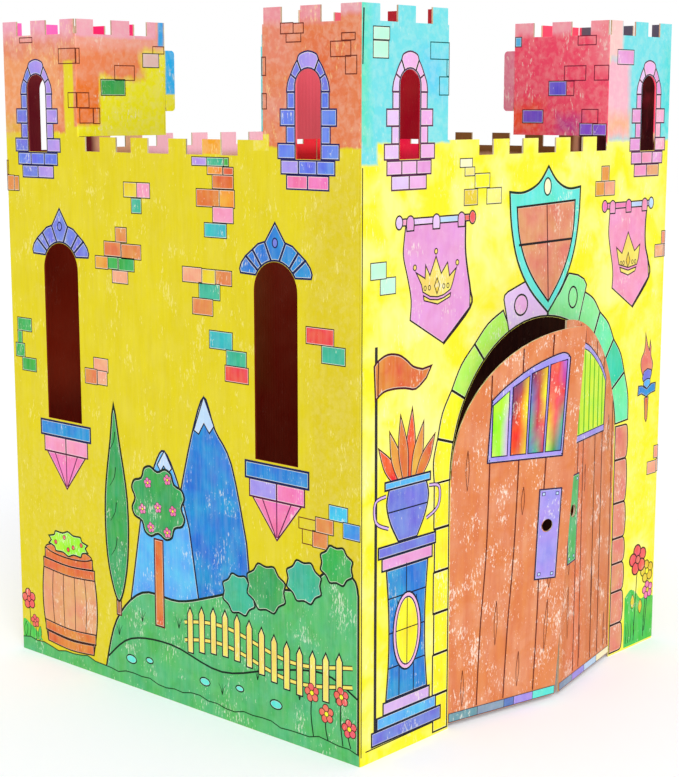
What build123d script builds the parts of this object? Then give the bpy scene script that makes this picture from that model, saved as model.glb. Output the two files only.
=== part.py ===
from build123d import *
import math
import os

# A play castle of corrugated board, open at the top and the bottom.
# It is folded from two sheets. Each sheet is one side wall and one end wall with a fold between them,
# and a glue lap that lies inside the other sheet.
# The front wall faces -Y. All sizes are in millimetres.

# Board and folds
board = 3.0
fold_radius = 2.4
slip = 0.3

# Plan, over the outside of the board
width = 813.0
depth = 813.0
tower_width = 193.5

# Heights: the towers above the ground, and the walls' top below the towers'
tower_height = 1105.0
wall_drop = 189.0
merlon_height = 23.5

# Battlements between the towers: a centre gap, with merlons and gaps in turn on both sides of it.
# The end merlons take the rest. The left and the front wall carry theirs off the middle, and their windows too.
centre_gap = 49.0
wall_merlon = 40.0
wall_gap = 36.5
wall_merlon_count = 4
left_battlement_shift = -16.5
front_battlement_shift = 39.5

# Battlements on a tower face and on a tower's inner flap
tower_merlon_count = 3

# Flaps that close each tower on the inside, and the ear that hooks one flap over the other
flap_clear = 0.5
ear_drop = 46.0
ear_height = 102.0
slot_depth = 71.0
ear_length = 22.0
ear_corner = 7.0
slot_mouth = 4.0
fold_relief = 1.0

# Windows with round heads, each hung below the top of its tower or wall.
# The tall pair stands either side of a line that is measured from the near corner.
tower_window_width = 48.0
front_window_width = 45.0
tower_window_height = 127.0
tower_window_drop = 88.0
left_far_window_shift = -9.0
left_near_window_shift = -5.0
front_near_window_shift = 8.0
front_far_window_shift = 28.0
tall_window_width = 90.0
tall_window_height = 303.0
tall_window_drop = 177.0
tall_window_centre = 421.0
tall_window_offset = 252.0

# Doorway in the front wall, and its two leaves
door_centre = 437.0
door_width = 458.0
door_spring = 401.0
leaf_gap = 1.5
leaf_clear = 8.0
left_leaf_bottom_angle = 12.0
left_leaf_top_angle = 28.0
right_leaf_angle = 12.0
finger_hole = 21.0
finger_hole_inset = 45.0
finger_hole_height = 307.0

# Glue laps
lap_width = 35.0
lap_bottom = 10.0
lap_drop = 91.0

# Worked out from the sizes above
wall_height = tower_height - wall_drop
flap_bottom = wall_height + flap_clear
ear_top = tower_height - ear_drop
ear_bottom = ear_top - ear_height
slot_top = ear_bottom + slot_depth
tower_window_top = tower_height - tower_window_drop
tower_window_sill = tower_window_top - tower_window_height
tall_window_top = wall_height - tall_window_drop
tall_window_sill = tall_window_top - tall_window_height
lap_top = tower_height - lap_drop
door_radius = door_width / 2
leaf_width = door_radius - leaf_gap / 2
leaf_top = door_spring + door_radius - leaf_gap
door_reach = leaf_width * math.sin(math.radians(max(left_leaf_top_angle, right_leaf_angle)))
left_x = -width / 2
right_x = width / 2
front_y = (door_reach - depth) / 2
back_y = front_y + depth
tower_unit = tower_width / (2 * tower_merlon_count - 1)
overshoot = 5.0

# Each wall is drawn as seen from outside, with x to the right along the wall and y up.
front_wall = Plane(origin=(left_x, front_y, 0), x_dir=(1, 0, 0), z_dir=(0, -1, 0))
right_wall = Plane(origin=(right_x, front_y, 0), x_dir=(0, 1, 0), z_dir=(1, 0, 0))
back_wall = Plane(origin=(right_x, back_y, 0), x_dir=(-1, 0, 0), z_dir=(0, 1, 0))
left_wall = Plane(origin=(left_x, back_y, 0), x_dir=(0, -1, 0), z_dir=(-1, 0, 0))


def patch(x0, y0, x1, y1):
    """Rectangle between two corners."""
    return Pos(x0, y0) * Rectangle(x1 - x0, y1 - y0, align=(Align.MIN, Align.MIN))


def arched(centre, opening, sill, top):
    """Opening with a round head."""
    radius = opening / 2
    square = patch(centre - radius, sill, centre + radius, top - radius)
    return square + Pos(centre, top - radius) * Circle(radius)


def tower_gaps(start):
    """Gaps between the merlons along one tower face or flap, from its near edge."""
    low = tower_height - merlon_height
    gaps = []
    for i in range(tower_merlon_count - 1):
        x0 = start + (2 * i + 1) * tower_unit
        gaps.append(patch(x0, low, x0 + tower_unit, tower_height + overshoot))
    return gaps


def wall_gaps(length, shift):
    """Gaps between the merlons of the wall, set out from the centre gap and stopped at the towers."""
    low = wall_height - merlon_height
    high = wall_height + overshoot
    middle = length / 2 + shift
    gaps = [patch(middle - centre_gap / 2, low, middle + centre_gap / 2, high)]
    reach = centre_gap / 2 + wall_merlon
    for _ in range(wall_merlon_count // 2):
        for x0 in (middle - reach - wall_gap, middle + reach):
            x1 = min(x0 + wall_gap, length - tower_width)
            gaps.append(patch(max(x0, tower_width), low, x1, high))
        reach += wall_gap + wall_merlon
    return gaps


def wall_outline(length, battlement_shift=0.0, window=tower_window_width, first_shift=0.0, last_shift=0.0):
    """Outline of one wall with its towers, battlements and tower windows."""
    outline = patch(0, 0, length, tower_height)
    outline -= patch(tower_width, wall_height, length - tower_width, tower_height + overshoot)
    for gap in tower_gaps(0) + tower_gaps(length - tower_width) + wall_gaps(length, battlement_shift):
        outline -= gap
    outline -= arched(tower_width / 2 + first_shift, window, tower_window_sill, tower_window_top)
    outline -= arched(length - tower_width / 2 + last_shift, window, tower_window_sill, tower_window_top)
    return outline


def left_outline():
    """Outline of the left wall with its two tall windows."""
    outline = wall_outline(
        depth, left_battlement_shift, tower_window_width, left_far_window_shift, left_near_window_shift
    )
    middle = depth - tall_window_centre
    for centre in (middle - tall_window_offset, middle + tall_window_offset):
        outline -= arched(centre, tall_window_width, tall_window_sill, tall_window_top)
    return outline


def front_outline():
    """Outline of the front wall with its doorway."""
    doorway = arched(door_centre, door_width, -overshoot, door_spring + door_radius)
    outline = wall_outline(
        width, front_battlement_shift, front_window_width, front_near_window_shift, front_far_window_shift
    )
    return outline - doorway


def hook_flap():
    """Flap whose ear slips down over the other flap, drawn with x inward from the wall's outer face."""
    reach = tower_width - board - slip
    outline = patch(0, flap_bottom, reach, tower_height)
    for gap in tower_gaps(0):
        outline -= gap
    ear_end = tower_width + ear_length
    ear = Pos(reach - ear_corner, ear_bottom) * RectangleRounded(
        ear_end - reach + ear_corner, ear_top - ear_bottom, ear_corner, align=(Align.MIN, Align.MIN)
    )
    outline += ear
    outline += patch(reach - ear_corner, ear_bottom, reach, ear_top)
    outline -= patch(reach, ear_bottom - overshoot, tower_width + slip, slot_top + slip)
    mouth = Polygon(
        (tower_width + slip, ear_bottom - overshoot),
        (tower_width + slip + slot_mouth, ear_bottom - overshoot),
        (tower_width + slip, ear_bottom + 2 * slot_mouth),
        align=None,
    )
    return outline - mouth


def notch_flap():
    """Flap with a notch in its end for the root of the ear."""
    outline = patch(0, flap_bottom, tower_width, tower_height)
    for gap in tower_gaps(0):
        outline -= gap
    return outline - patch(tower_width - board - slip, slot_top, tower_width + overshoot, ear_top + slip)


def panel(plane, outline):
    """Board lying behind a printed outer face."""
    return extrude(plane * outline, amount=-board)


def fold_edges(solid, x, y, low, high):
    """Vertical edges at one corner of the plan."""
    found = []
    for edge in solid.edges().filter_by(Axis.Z):
        middle = edge @ 0.5
        if abs(middle.X - x) < 0.01 and abs(middle.Y - y) < 0.01 and low < middle.Z < high:
            found.append(edge)
    return found


def rounded_fold(solid, x, y, low=0.0, high=tower_height):
    """Round the outside of a fold."""
    return fillet(fold_edges(solid, x, y, low, high), fold_radius)


def add_flap(wall, plane, length, at_start, outline):
    """Fold a flap inward from the edge of one tower, with its merlon cut free at the fold."""
    inward = -plane.z_dir
    low = tower_height - merlon_height
    high = tower_height + overshoot
    if at_start:
        edge = plane.origin + plane.x_dir * tower_width
        flap_plane = Plane(origin=edge, x_dir=inward, z_dir=plane.x_dir)
        flap = extrude(flap_plane * outline, amount=-board)
        relief = patch(tower_width - board - fold_relief, low, tower_width, high)
    else:
        edge = plane.origin + plane.x_dir * (length - tower_width)
        flap_plane = Plane(origin=edge, x_dir=-inward, z_dir=-plane.x_dir)
        flap = extrude(flap_plane * mirror(outline, about=Plane.YZ), amount=-board)
        edge_x = length - tower_width
        relief = patch(edge_x, low, edge_x + board + fold_relief, high)
    joined = wall + flap - extrude(plane * relief, amount=-board - fold_relief)
    return rounded_fold(joined, edge.X, edge.Y, flap_bottom, low)


def leaf_section(angle, height):
    """Plan of a door leaf bent outward, with the wedge of board that opens behind its crease."""
    turn = math.radians(angle)
    along = Vector(math.cos(turn), -math.sin(turn))
    behind = Vector(math.sin(turn), math.cos(turn)) * board
    corners = (
        Vector(0, 0),
        along * leaf_width,
        along * leaf_width + behind,
        behind,
        Vector(0, board),
    )
    return Pos(0, 0, height) * make_face(Polyline(*corners, close=True))


def leaf_outline():
    """Outline of a door leaf, with x from its crease and y up."""
    arc = Pos(door_radius, door_spring) * Circle(door_radius - leaf_gap)
    upper = arc & patch(0, door_spring, leaf_width, leaf_top + overshoot)
    outline = patch(-board, leaf_clear, leaf_width + overshoot, door_spring) + upper
    return outline - Pos(leaf_width - finger_hole_inset, finger_hole_height) * Circle(finger_hole / 2)


def door_leaf(bottom_angle, top_angle):
    """Door leaf with its crease on the Z axis, hanging to +X and bent towards -Y, twisted from bottom to top."""
    low = leaf_section(bottom_angle, leaf_clear)
    high = leaf_section(top_angle, leaf_top)
    sheet = loft([low, high], ruled=True)
    middle = math.radians((bottom_angle + top_angle) / 2)
    facing = Plane(
        origin=(0, 0, 0),
        x_dir=(math.cos(middle), -math.sin(middle), 0),
        z_dir=(-math.sin(middle), -math.cos(middle), 0),
    )
    cutter = extrude(facing * leaf_outline(), amount=door_width, both=True)
    return sheet & cutter


def side_wall(plane, outline):
    """Side wall without its flaps. Its right end stops behind the board of the wall that it is glued to."""
    return panel(plane, outline & patch(0, 0, depth - board, tower_height))


def lap(plane):
    """Glue lap folded inward at the right end of a side wall."""
    start = plane.origin + plane.x_dir * (depth - board)
    lap_plane = Plane(origin=start, x_dir=-plane.z_dir, z_dir=plane.x_dir)
    return extrude(lap_plane * patch(0, lap_bottom, lap_width, lap_top), amount=-board)


def back_and_left():
    """Sheet of the left wall and the back wall, folded at the far left corner."""
    sheet = side_wall(left_wall, left_outline()) + panel(back_wall, wall_outline(width))
    sheet = rounded_fold(sheet, left_x, back_y)
    sheet += lap(left_wall)
    sheet = rounded_fold(sheet, left_x, front_y + board, lap_bottom, lap_top)
    sheet = add_flap(sheet, left_wall, depth, True, hook_flap())
    sheet = add_flap(sheet, left_wall, depth, False, notch_flap())
    sheet = add_flap(sheet, back_wall, width, True, notch_flap())
    sheet = add_flap(sheet, back_wall, width, False, notch_flap())
    return sheet


def front_and_right():
    """Sheet of the front wall with its doors and the right wall, folded at the far right corner."""
    front = panel(front_wall, front_outline())
    left_leaf = door_leaf(left_leaf_bottom_angle, left_leaf_top_angle)
    right_leaf = mirror(door_leaf(right_leaf_angle, right_leaf_angle), about=Plane.YZ)
    front += Pos(left_x + door_centre - door_radius, front_y, 0) * left_leaf
    front += Pos(left_x + door_centre + door_radius, front_y, 0) * right_leaf
    sheet = front + side_wall(right_wall, wall_outline(depth))
    sheet = rounded_fold(sheet, right_x, front_y)
    sheet += lap(right_wall)
    sheet = rounded_fold(sheet, right_x, back_y - board, lap_bottom, lap_top)
    sheet = add_flap(sheet, front_wall, width, True, hook_flap())
    sheet = add_flap(sheet, front_wall, width, False, hook_flap())
    sheet = add_flap(sheet, right_wall, depth, True, notch_flap())
    sheet = add_flap(sheet, right_wall, depth, False, hook_flap())
    return sheet


os.makedirs("parts", exist_ok=True)
export_step(back_and_left(), "parts/back_and_left_blank.step")
export_step(front_and_right(), "parts/front_and_right_blank.step")
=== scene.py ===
import math

import bmesh
import bpy
from bpy.props import FloatProperty, FloatVectorProperty, PointerProperty
from mathutils import Matrix, Vector
from mathutils.geometry import interpolate_bezier


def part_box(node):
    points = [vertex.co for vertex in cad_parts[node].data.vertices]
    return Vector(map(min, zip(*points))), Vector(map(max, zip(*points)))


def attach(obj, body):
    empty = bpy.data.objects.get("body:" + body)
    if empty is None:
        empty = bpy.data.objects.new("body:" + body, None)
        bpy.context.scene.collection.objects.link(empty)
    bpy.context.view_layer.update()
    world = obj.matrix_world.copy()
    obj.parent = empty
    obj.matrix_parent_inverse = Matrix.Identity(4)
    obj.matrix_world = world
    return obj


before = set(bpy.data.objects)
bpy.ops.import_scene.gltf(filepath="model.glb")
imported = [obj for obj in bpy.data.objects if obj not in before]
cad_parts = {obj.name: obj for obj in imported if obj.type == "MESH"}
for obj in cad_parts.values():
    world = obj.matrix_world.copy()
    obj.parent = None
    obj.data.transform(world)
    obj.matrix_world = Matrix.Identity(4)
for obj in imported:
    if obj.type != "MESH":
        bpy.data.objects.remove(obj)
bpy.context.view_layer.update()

bl_info = {
    "name": "Cardboard Castle Finish",
    "version": (1, 0, 0),
    "blender": (4, 5, 0),
    "location": "View3D > Sidebar > Castle",
    "description": "Prints, hand-colours and lights the folded cardboard castle",
    "category": "Object",
}

MM = 0.001

# The castle's own places, in millimetres and degrees: u runs to the right and z up on each wall, seen from outside.
WIDTH = 813.0
BOARD = 3.0
TOWER = 193.5
WALL_TOP = 916.0
LEFT_X = -406.5
RIGHT_X = 406.5
FRONT_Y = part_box("back_and_left_blank")[0][1] / MM - BOARD
BACK_Y = FRONT_Y + WIDTH
MIDDLE_Y = (FRONT_Y + BACK_Y) / 2
HALF = WIDTH / 2
FLAP = HALF - TOWER
DOOR_CENTRE = 437.0
DOOR_RADIUS = 229.0
DOOR_SPRING = 401.0
LEAF_ARCH = 227.5
LEAF_FOOT = 8.0
LEAF_RISE = 620.5
LEAF_FOOT_ANGLE = 12.0
LEAF_TOP_ANGLE = 28.0
TOWER_WINDOW_TOP = 1017.0
TALL_WINDOW_TOP = 739.0
TALL_WINDOW_RADIUS = 45.0
TALL_WINDOWS = (140.0, 644.0)
LEFT_TOWER_WINDOWS = (87.75, 711.25)
FRONT_TOWER_WINDOWS = (104.75, 744.25)
FINGER_HOLE = (183.25, 307.0)
# Beyond every part of the castle, for the open sides of a colour field.
FAR = 999.0

# The print, in millimetres: the step from one level of film to the next, on a wall and on a bent leaf, the film's
# clearance over a leaf, its distance from a wall's ends, and the hole in it round a finger hole.
LEVEL_STEP = 0.06
LEAF_LEVEL_STEP = 0.16
LEAF_CLEARANCE = 0.45
END_CLEARANCE = 0.3
HOLE_RADIUS = 11.0
# How far the stones round an opening keep from it, and how far neighbouring stones run over their shared line.
OPENING_CLEARANCE = 0.6
OVERLAP = 0.9
ARCH_OVERLAP = 0.8
# An outline's closest points, the turn in degrees that counts as a sharp corner, and the room that it needs.
POINT_SPACING = 0.3
SHARP_TURN = 32.0
CORNER_ROOM = 1.15
# A pen line's share of its crayon's colour, then the halo inside the line: its shares of crayon and paper, its wax.
PEN_SHADE = 0.05
HALO_CRAYON = 0.35
HALO_PAPER = 0.6
HALO_WAX = 0.4

# How the faces of the board are told apart: slack in millimetres, and how squarely a face has to look one way.
FACE_SLACK = 0.5
PRINT_SLACK = 2.6
LEAF_SLACK = 0.2
SQUARE = 0.7
LEAF_SQUARE = 0.8
CUT_SQUARE = 0.3
# The cuts that look like bare liner: their heights in the doorway, the tall windows and the tower windows, and how
# far they keep from the walls' ends and from the towers' inner corners.
DOORWAY_CUTS = (30.0, 640.0)
TALL_WINDOW_CUTS = (430.0, 745.0)
TOWER_WINDOW_CUTS = (889.0, 1018.0)
END_MARGIN = 20.0
CORNER_MARGIN = 10.0

# The photograph's camera, fitted to the castle's corners, and the soft key light; metres and degrees.
CAMERA_PLACE = (-2.11686, -1.85948, 0.96304)
CAMERA_HEADING = 42.142
CAMERA_DROP = 9.794
CAMERA_LENS = 75.409
SENSOR_HEIGHT = 36.0
KEY_DIRECTION = (0.52, 0.58, -0.62)
KEY_SPREAD = 35.0
FLOOR_REACH = 14.0


def from_hex(code):
    """The linear colour of a six-figure screen colour."""
    parts = [int(code[i:i + 2], 16) / 255 for i in (0, 2, 4)]
    return tuple(c / 12.92 if c <= 0.04045 else ((c + 0.055) / 1.055) ** 2.4 for c in parts)


# The crayons and pens that the castle is coloured with.
CRAYONS = {name: from_hex(code) for name, code in {
    "orange": "E08A48", "amber": "E8A23C", "gold": "E9CB2A", "straw": "F4E06A", "yellow": "FBF21A", "peach": "F0A884",
    "salmon": "E8846A", "coral": "F0605C", "red": "E8424C", "crimson": "C82450", "pink": "F29CC0",
    "hot pink": "F07CB4", "rose": "E8A0D8", "lilac": "D8B4EC", "violet": "9A5AE0", "periwinkle": "7480DC",
    "blue": "3C8CE0", "sky": "58B4F0", "cyan": "3CC4E8", "aqua": "66E8D8", "mint": "72ECA8", "pale mint": "C4F8DC",
    "teal": "3CB894", "green": "38B050", "leaf": "2C9A48", "lime": "C0F860", "bright lime": "A4F020",
    "cream": "FBF6C8", "white": "FFFFFF", "brown": "B0663C", "rust": "D8603A", "steel": "5878C0", "ice": "C0D8F4",
    "plum": "7A3060", "grey blue": "8AA0B8", "iris": "A898E8", "bluebell": "6480E4", "lavender": "B494E4",
    "shell": "E8C8F2", "blossom": "F0B4E4", "sugar": "F8AECC", "azure": "2088D4", "ochre": "F0A030",
    "tangerine": "E07A34", "apricot": "E6A272", "clay": "E29072", "lagoon": "38BCC0", "fern": "48C848",
    "buttermilk": "F6EE80", "meadow": "54BA6E", "moss": "36A658", "vermilion": "F05424", "citron": "D2F42C",
    "sapling": "90EC9C", "jade": "30D4A4",
}.items()}
PEN = from_hex("160C10")
PLANK_PEN = from_hex("5A1410")
PAPER = from_hex("FFFCE8")


def colour_of(tint):
    """The linear colour of a crayon's name or a six-figure code; a colour stays as it is."""
    if not isinstance(tint, str):
        return tuple(tint)
    return CRAYONS[tint] if tint in CRAYONS else from_hex(tint)


class CastleColours(bpy.types.PropertyGroup):
    """Colours of the board and of the areas coloured straight onto the walls."""
    # the left wall's deeper gold is partly the print's own yellow and partly painted shade of a less lit wall
    left_yellow: FloatVectorProperty(name="Left wall yellow", description="Print of the wall with the tall windows",
                                     subtype="COLOR", size=3, min=0, max=1, default=from_hex("E0CE0C"))
    front_lemon: FloatVectorProperty(name="Front wall lemon", description="Print of the wall with the doors",
                                     subtype="COLOR", size=3, min=0, max=1, default=from_hex("FCF020"))
    tower_orange: FloatVectorProperty(name="Tower orange", description="Crayon on the left wall's towers",
                                      subtype="COLOR", size=3, min=0, max=1, default=from_hex("DE7B4B"))
    tower_pink: FloatVectorProperty(name="Tower pink", description="Crayon on the tops of the towers",
                                    subtype="COLOR", size=3, min=0, max=1, default=from_hex("EA9CB0"))
    tower_cyan: FloatVectorProperty(name="Tower cyan", description="Crayon on the front wall's towers",
                                    subtype="COLOR", size=3, min=0, max=1, default=from_hex("6EDCE2"))
    tower_crimson: FloatVectorProperty(name="Tower crimson", description="Crayon on the far right tower's inner face",
                                       subtype="COLOR", size=3, min=0, max=1, default=from_hex("FC4869"))
    kraft: FloatVectorProperty(name="Kraft liner", description="Bare inner liner of the board", subtype="COLOR",
                               size=3, min=0, max=1, default=from_hex("F0B890"))
    cut_edge: FloatVectorProperty(name="Cut edge", description="Fluted paper in the cut edges of the board",
                                  subtype="COLOR", size=3, min=0, max=1, default=from_hex("E0CDA8"))
    door_orange: FloatVectorProperty(name="Door orange", description="Crayon on the door planks", subtype="COLOR",
                                     size=3, min=0, max=1, default=from_hex("DE864D"))


class CastlePrint(bpy.types.PropertyGroup):
    """Sizes of the pen lines and of the ink film."""
    fine_line: FloatProperty(name="Fine line", description="Width of the pen line round a brick", default=1.5 * MM,
                             min=0, unit="LENGTH")
    bold_line: FloatProperty(name="Bold line", description="Width of the pen line round a picture", default=4.0 * MM,
                             min=0, unit="LENGTH")
    paper_gap: FloatProperty(name="Paper gap", description="Uncoloured paper left inside a pen line",
                             default=0.8 * MM, min=0, unit="LENGTH")
    film: FloatProperty(name="Ink film", description="Thickness of the film of ink", default=0.08 * MM, min=0,
                        unit="LENGTH")
    lift: FloatProperty(name="Film height", description="Height of the lowest film's face over the board",
                        default=0.12 * MM, min=0, unit="LENGTH")
    flute_pitch: FloatProperty(name="Flute pitch", description="Distance between the flutes of the board",
                               default=7.2 * MM, min=0, unit="LENGTH")


class CastleStudio(bpy.types.PropertyGroup):
    """Light round the castle."""
    sky_level: FloatProperty(name="Sky level", description="Strength of the even light from all round", default=0.73,
                             min=0)
    key_level: FloatProperty(name="Key level", description="Strength of the soft key light", default=1.58, min=0)
    floor_lift: FloatProperty(name="Floor lift", description="Light added to the floor for the camera only",
                              default=0.12, min=0)


# ---- materials ------------------------------------------------------------------------------

def node(tree, kind, inputs=None, **settings):
    """Add a node, with values or links for its inputs."""
    made = tree.nodes.new(kind)
    for key, value in settings.items():
        setattr(made, key, value)
    for key, value in (inputs or {}).items():
        if isinstance(value, bpy.types.NodeSocket):
            tree.links.new(value, made.inputs[key])
        else:
            made.inputs[key].default_value = value
    return made


def maths(tree, operation, *values):
    """The result of a sum on masks and numbers."""
    return node(tree, "ShaderNodeMath", dict(enumerate(values)), operation=operation).outputs[0]


def vector_maths(tree, operation, inputs):
    """The result of a sum on vectors."""
    return node(tree, "ShaderNodeVectorMath", inputs, operation=operation).outputs[0]


def object_place(tree):
    """Where a point lies on the object."""
    return node(tree, "ShaderNodeTexCoord").outputs["Object"]


def stretched(tree, place, upright):
    """A place whose height counts for less, so that a texture on it stands upright."""
    return node(tree, "ShaderNodeMapping", {"Vector": place, "Scale": (1.0, 1.0, upright)}).outputs[0]


def noise(tree, place, scale, detail, output="Fac", **more):
    """Noise at a place; more gives its other inputs."""
    inputs = {"Vector": place, "Scale": scale, "Detail": detail, **more}
    return node(tree, "ShaderNodeTexNoise", inputs).outputs[output]


def ramp(tree, value, low, high):
    """Zero up to the low value, one from the high value on."""
    return node(tree, "ShaderNodeMapRange", {"Value": value, "From Min": low, "From Max": high}).outputs[0]


def group(name, inputs, outputs):
    """Start a node group with named sockets."""
    tree = bpy.data.node_groups.new(name, "ShaderNodeTree")
    for label, kind, value in inputs:
        socket = tree.interface.new_socket(name=label, in_out="INPUT", socket_type=kind)
        socket.default_value = value
    for label, kind in outputs:
        tree.interface.new_socket(name=label, in_out="OUTPUT", socket_type=kind)
    return tree, tree.nodes.new("NodeGroupInput"), tree.nodes.new("NodeGroupOutput")


def crayon_group():
    """Crayon on board: upright streaks, cloudy blotches and specks of bare paper."""
    tree, inside, outside = group("Crayon", [
        ("Streak Scale", "NodeSocketFloat", 90.0), ("Blotch Scale", "NodeSocketFloat", 16.0),
        ("Speck Scale", "NodeSocketFloat", 260.0), ("Speck Cover", "NodeSocketFloat", 0.5),
    ], [("Streaks", "NodeSocketFloat"), ("Blotches", "NodeSocketFloat"), ("Specks", "NodeSocketFloat")])
    place = object_place(tree)
    scale = inside.outputs
    streak = noise(tree, stretched(tree, place, 0.12), scale["Streak Scale"], 3.0, Roughness=0.6)
    blotch = noise(tree, place, scale["Blotch Scale"], 3.0, Roughness=0.55, Distortion=0.4)
    speck = noise(tree, stretched(tree, place, 0.32), scale["Speck Scale"], 2.0, Roughness=0.7)
    cluster = noise(tree, place, 24.0, 2.0)
    clustered = maths(tree, "ADD", speck, maths(tree, "MULTIPLY", cluster, 0.7))
    covered = maths(tree, "ADD", clustered, maths(tree, "MULTIPLY", scale["Speck Cover"], 0.2))
    for label, value, low, high in (("Streaks", streak, 0.38, 0.66), ("Blotches", blotch, 0.42, 0.64),
                                    ("Specks", covered, 1.12, 1.22)):
        tree.links.new(ramp(tree, value, low, high), outside.inputs[label])
    return tree


def field_group():
    """One where a point lies inside a box, with a ragged hand-coloured edge."""
    tree, inside, outside = group("Colour Field", [
        ("Low", "NodeSocketVector", (0, 0, 0)), ("High", "NodeSocketVector", (1, 1, 1)),
        ("Soft", "NodeSocketFloat", 0.006), ("Ragged", "NodeSocketFloat", 0.01),
    ], [("Inside", "NodeSocketFloat")])
    place = object_place(tree)
    ragged = noise(tree, stretched(tree, place, 0.4), 70.0, 3.0, "Color")
    centred = vector_maths(tree, "SUBTRACT", {0: ragged, 1: (0.5, 0.5, 0.5)})
    moved = vector_maths(tree, "SCALE", {0: centred, 3: inside.outputs["Ragged"]})
    point = vector_maths(tree, "ADD", {0: place, 1: moved})
    up = vector_maths(tree, "SUBTRACT", {0: point, 1: inside.outputs["Low"]})
    down = vector_maths(tree, "SUBTRACT", {0: inside.outputs["High"], 1: point})
    least = vector_maths(tree, "MINIMUM", {0: up, 1: down})
    x, y, z = node(tree, "ShaderNodeSeparateXYZ", {0: least}).outputs
    depth = maths(tree, "MINIMUM", maths(tree, "MINIMUM", x, y), z)
    tree.links.new(ramp(tree, depth, 0.0, inside.outputs["Soft"]), outside.inputs["Inside"])
    return tree


def flute_group():
    """Height of the board's face: faint upright flutes and the tooth of the paper."""
    tree, inside, outside = group("Flutes", [("Pitch", "NodeSocketFloat", 0.0072), ("Depth", "NodeSocketFloat", 0.5)],
                                  [("Height", "NodeSocketFloat"), ("Wave", "NodeSocketFloat")])
    place = object_place(tree)
    x, y, _ = node(tree, "ShaderNodeSeparateXYZ", {0: place}).outputs
    turns = maths(tree, "DIVIDE", maths(tree, "ADD", x, y), inside.outputs["Pitch"])
    wave = maths(tree, "SINE", maths(tree, "MULTIPLY", turns, math.tau))
    tooth = noise(tree, place, 420.0, 3.0)
    height = maths(tree, "ADD", maths(tree, "MULTIPLY", wave, inside.outputs["Depth"]), tooth)
    tree.links.new(height, outside.inputs["Height"])
    tree.links.new(wave, outside.inputs["Wave"])
    return tree


def shared(name, build):
    """The named node group, built the first time it is asked for."""
    return bpy.data.node_groups.get(name) or build()


def blend_in(tree, base, colour, amount, kind="MIX"):
    """Mix a colour over another by a mask; returns the mixed colour's socket."""
    mixed = node(tree, "ShaderNodeMix", data_type="RGBA", blend_type=kind, clamp_factor=True)
    for socket, value in ((mixed.inputs[0], amount), (mixed.inputs[6], base), (mixed.inputs[7], colour)):
        if isinstance(value, bpy.types.NodeSocket):
            tree.links.new(value, socket)
        elif isinstance(value, (int, float)):
            socket.default_value = value
        else:
            socket.default_value = (*colour_of(value), 1.0)
    return mixed.outputs[2]


def start_material(name, roughness):
    """A material with a Principled shader; returns the material, its tree and the shader."""
    made = bpy.data.materials.new(name)
    made.use_nodes = True
    tree = made.node_tree
    shader = tree.nodes["Principled BSDF"]
    shader.inputs["Roughness"].default_value = roughness
    shader.inputs["Specular IOR Level"].default_value = 0.16
    return made, tree, shader


def add_tooth(tree, shader, depth, distance, strength=0.5):
    """Bump the surface with the board's flutes and paper tooth."""
    flutes = node(tree, "ShaderNodeGroup", node_tree=shared("Flutes", flute_group))
    flutes.inputs["Pitch"].default_value = bpy.context.scene.castle_print.flute_pitch
    flutes.inputs["Depth"].default_value = depth
    bump = {"Height": flutes.outputs["Height"], "Strength": strength, "Distance": distance}
    tree.links.new(node(tree, "ShaderNodeBump", bump).outputs[0], shader.inputs["Normal"])
    return flutes


def crayon_masks(tree, scales, cover=0.5):
    """The crayon's masks, with the scales of its streaks, blotches and specks."""
    crayon = node(tree, "ShaderNodeGroup", node_tree=shared("Crayon", crayon_group))
    for label, value in zip(("Streak Scale", "Blotch Scale", "Speck Scale", "Speck Cover"), (*scales, cover)):
        crayon.inputs[label].default_value = value
    return crayon.outputs


def crayon_over(tree, colour, streak, blotch, speck, cover, scales):
    """Lay streaks, blotches and specks, each a (colour, strength), over a colour."""
    masks = crayon_masks(tree, scales, cover)
    for label, (tint, strength) in (("Blotches", blotch), ("Streaks", streak), ("Specks", speck)):
        colour = blend_in(tree, colour, tint, maths(tree, "MULTIPLY", masks[label], strength))
    return colour


def in_box(tree, low, high, soft, ragged):
    """The mask of a colour field, with its corners in millimetres."""
    field = node(tree, "ShaderNodeGroup", node_tree=shared("Colour Field", field_group))
    field.inputs["Low"].default_value = [c * MM for c in low]
    field.inputs["High"].default_value = [c * MM for c in high]
    field.inputs["Soft"].default_value = soft * MM
    field.inputs["Ragged"].default_value = ragged * MM
    return field.outputs["Inside"]


def board_material(name, ground, fields, streak, blotch, speck, cover, scales):
    """Printed liner: a mottled ground colour, fields of crayon over it, and the crayon's own texture."""
    made, tree, shader = start_material(name, 0.62)
    colour = crayon_over(tree, ground, streak, blotch, (speck[0], 0.0), cover, scales)
    mottle = crayon_masks(tree, (240.0, 95.0, 260.0))["Blotches"]
    for tint, low, high, soft, ragged in fields:
        paler = tuple(0.6 * c + 0.4 * p for c, p in zip(colour_of(tint), PAPER))
        tone = blend_in(tree, tint, paler, maths(tree, "MULTIPLY", mottle, 0.32))
        colour = blend_in(tree, colour, tone, in_box(tree, low, high, soft, ragged))
    colour = crayon_over(tree, colour, (PAPER, 0.02), (PAPER, 0.02), speck, cover, (150.0, 30.0, scales[2]))
    tree.links.new(colour, shader.inputs["Base Color"])
    add_tooth(tree, shader, 0.2, 0.0003)
    return made


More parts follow.
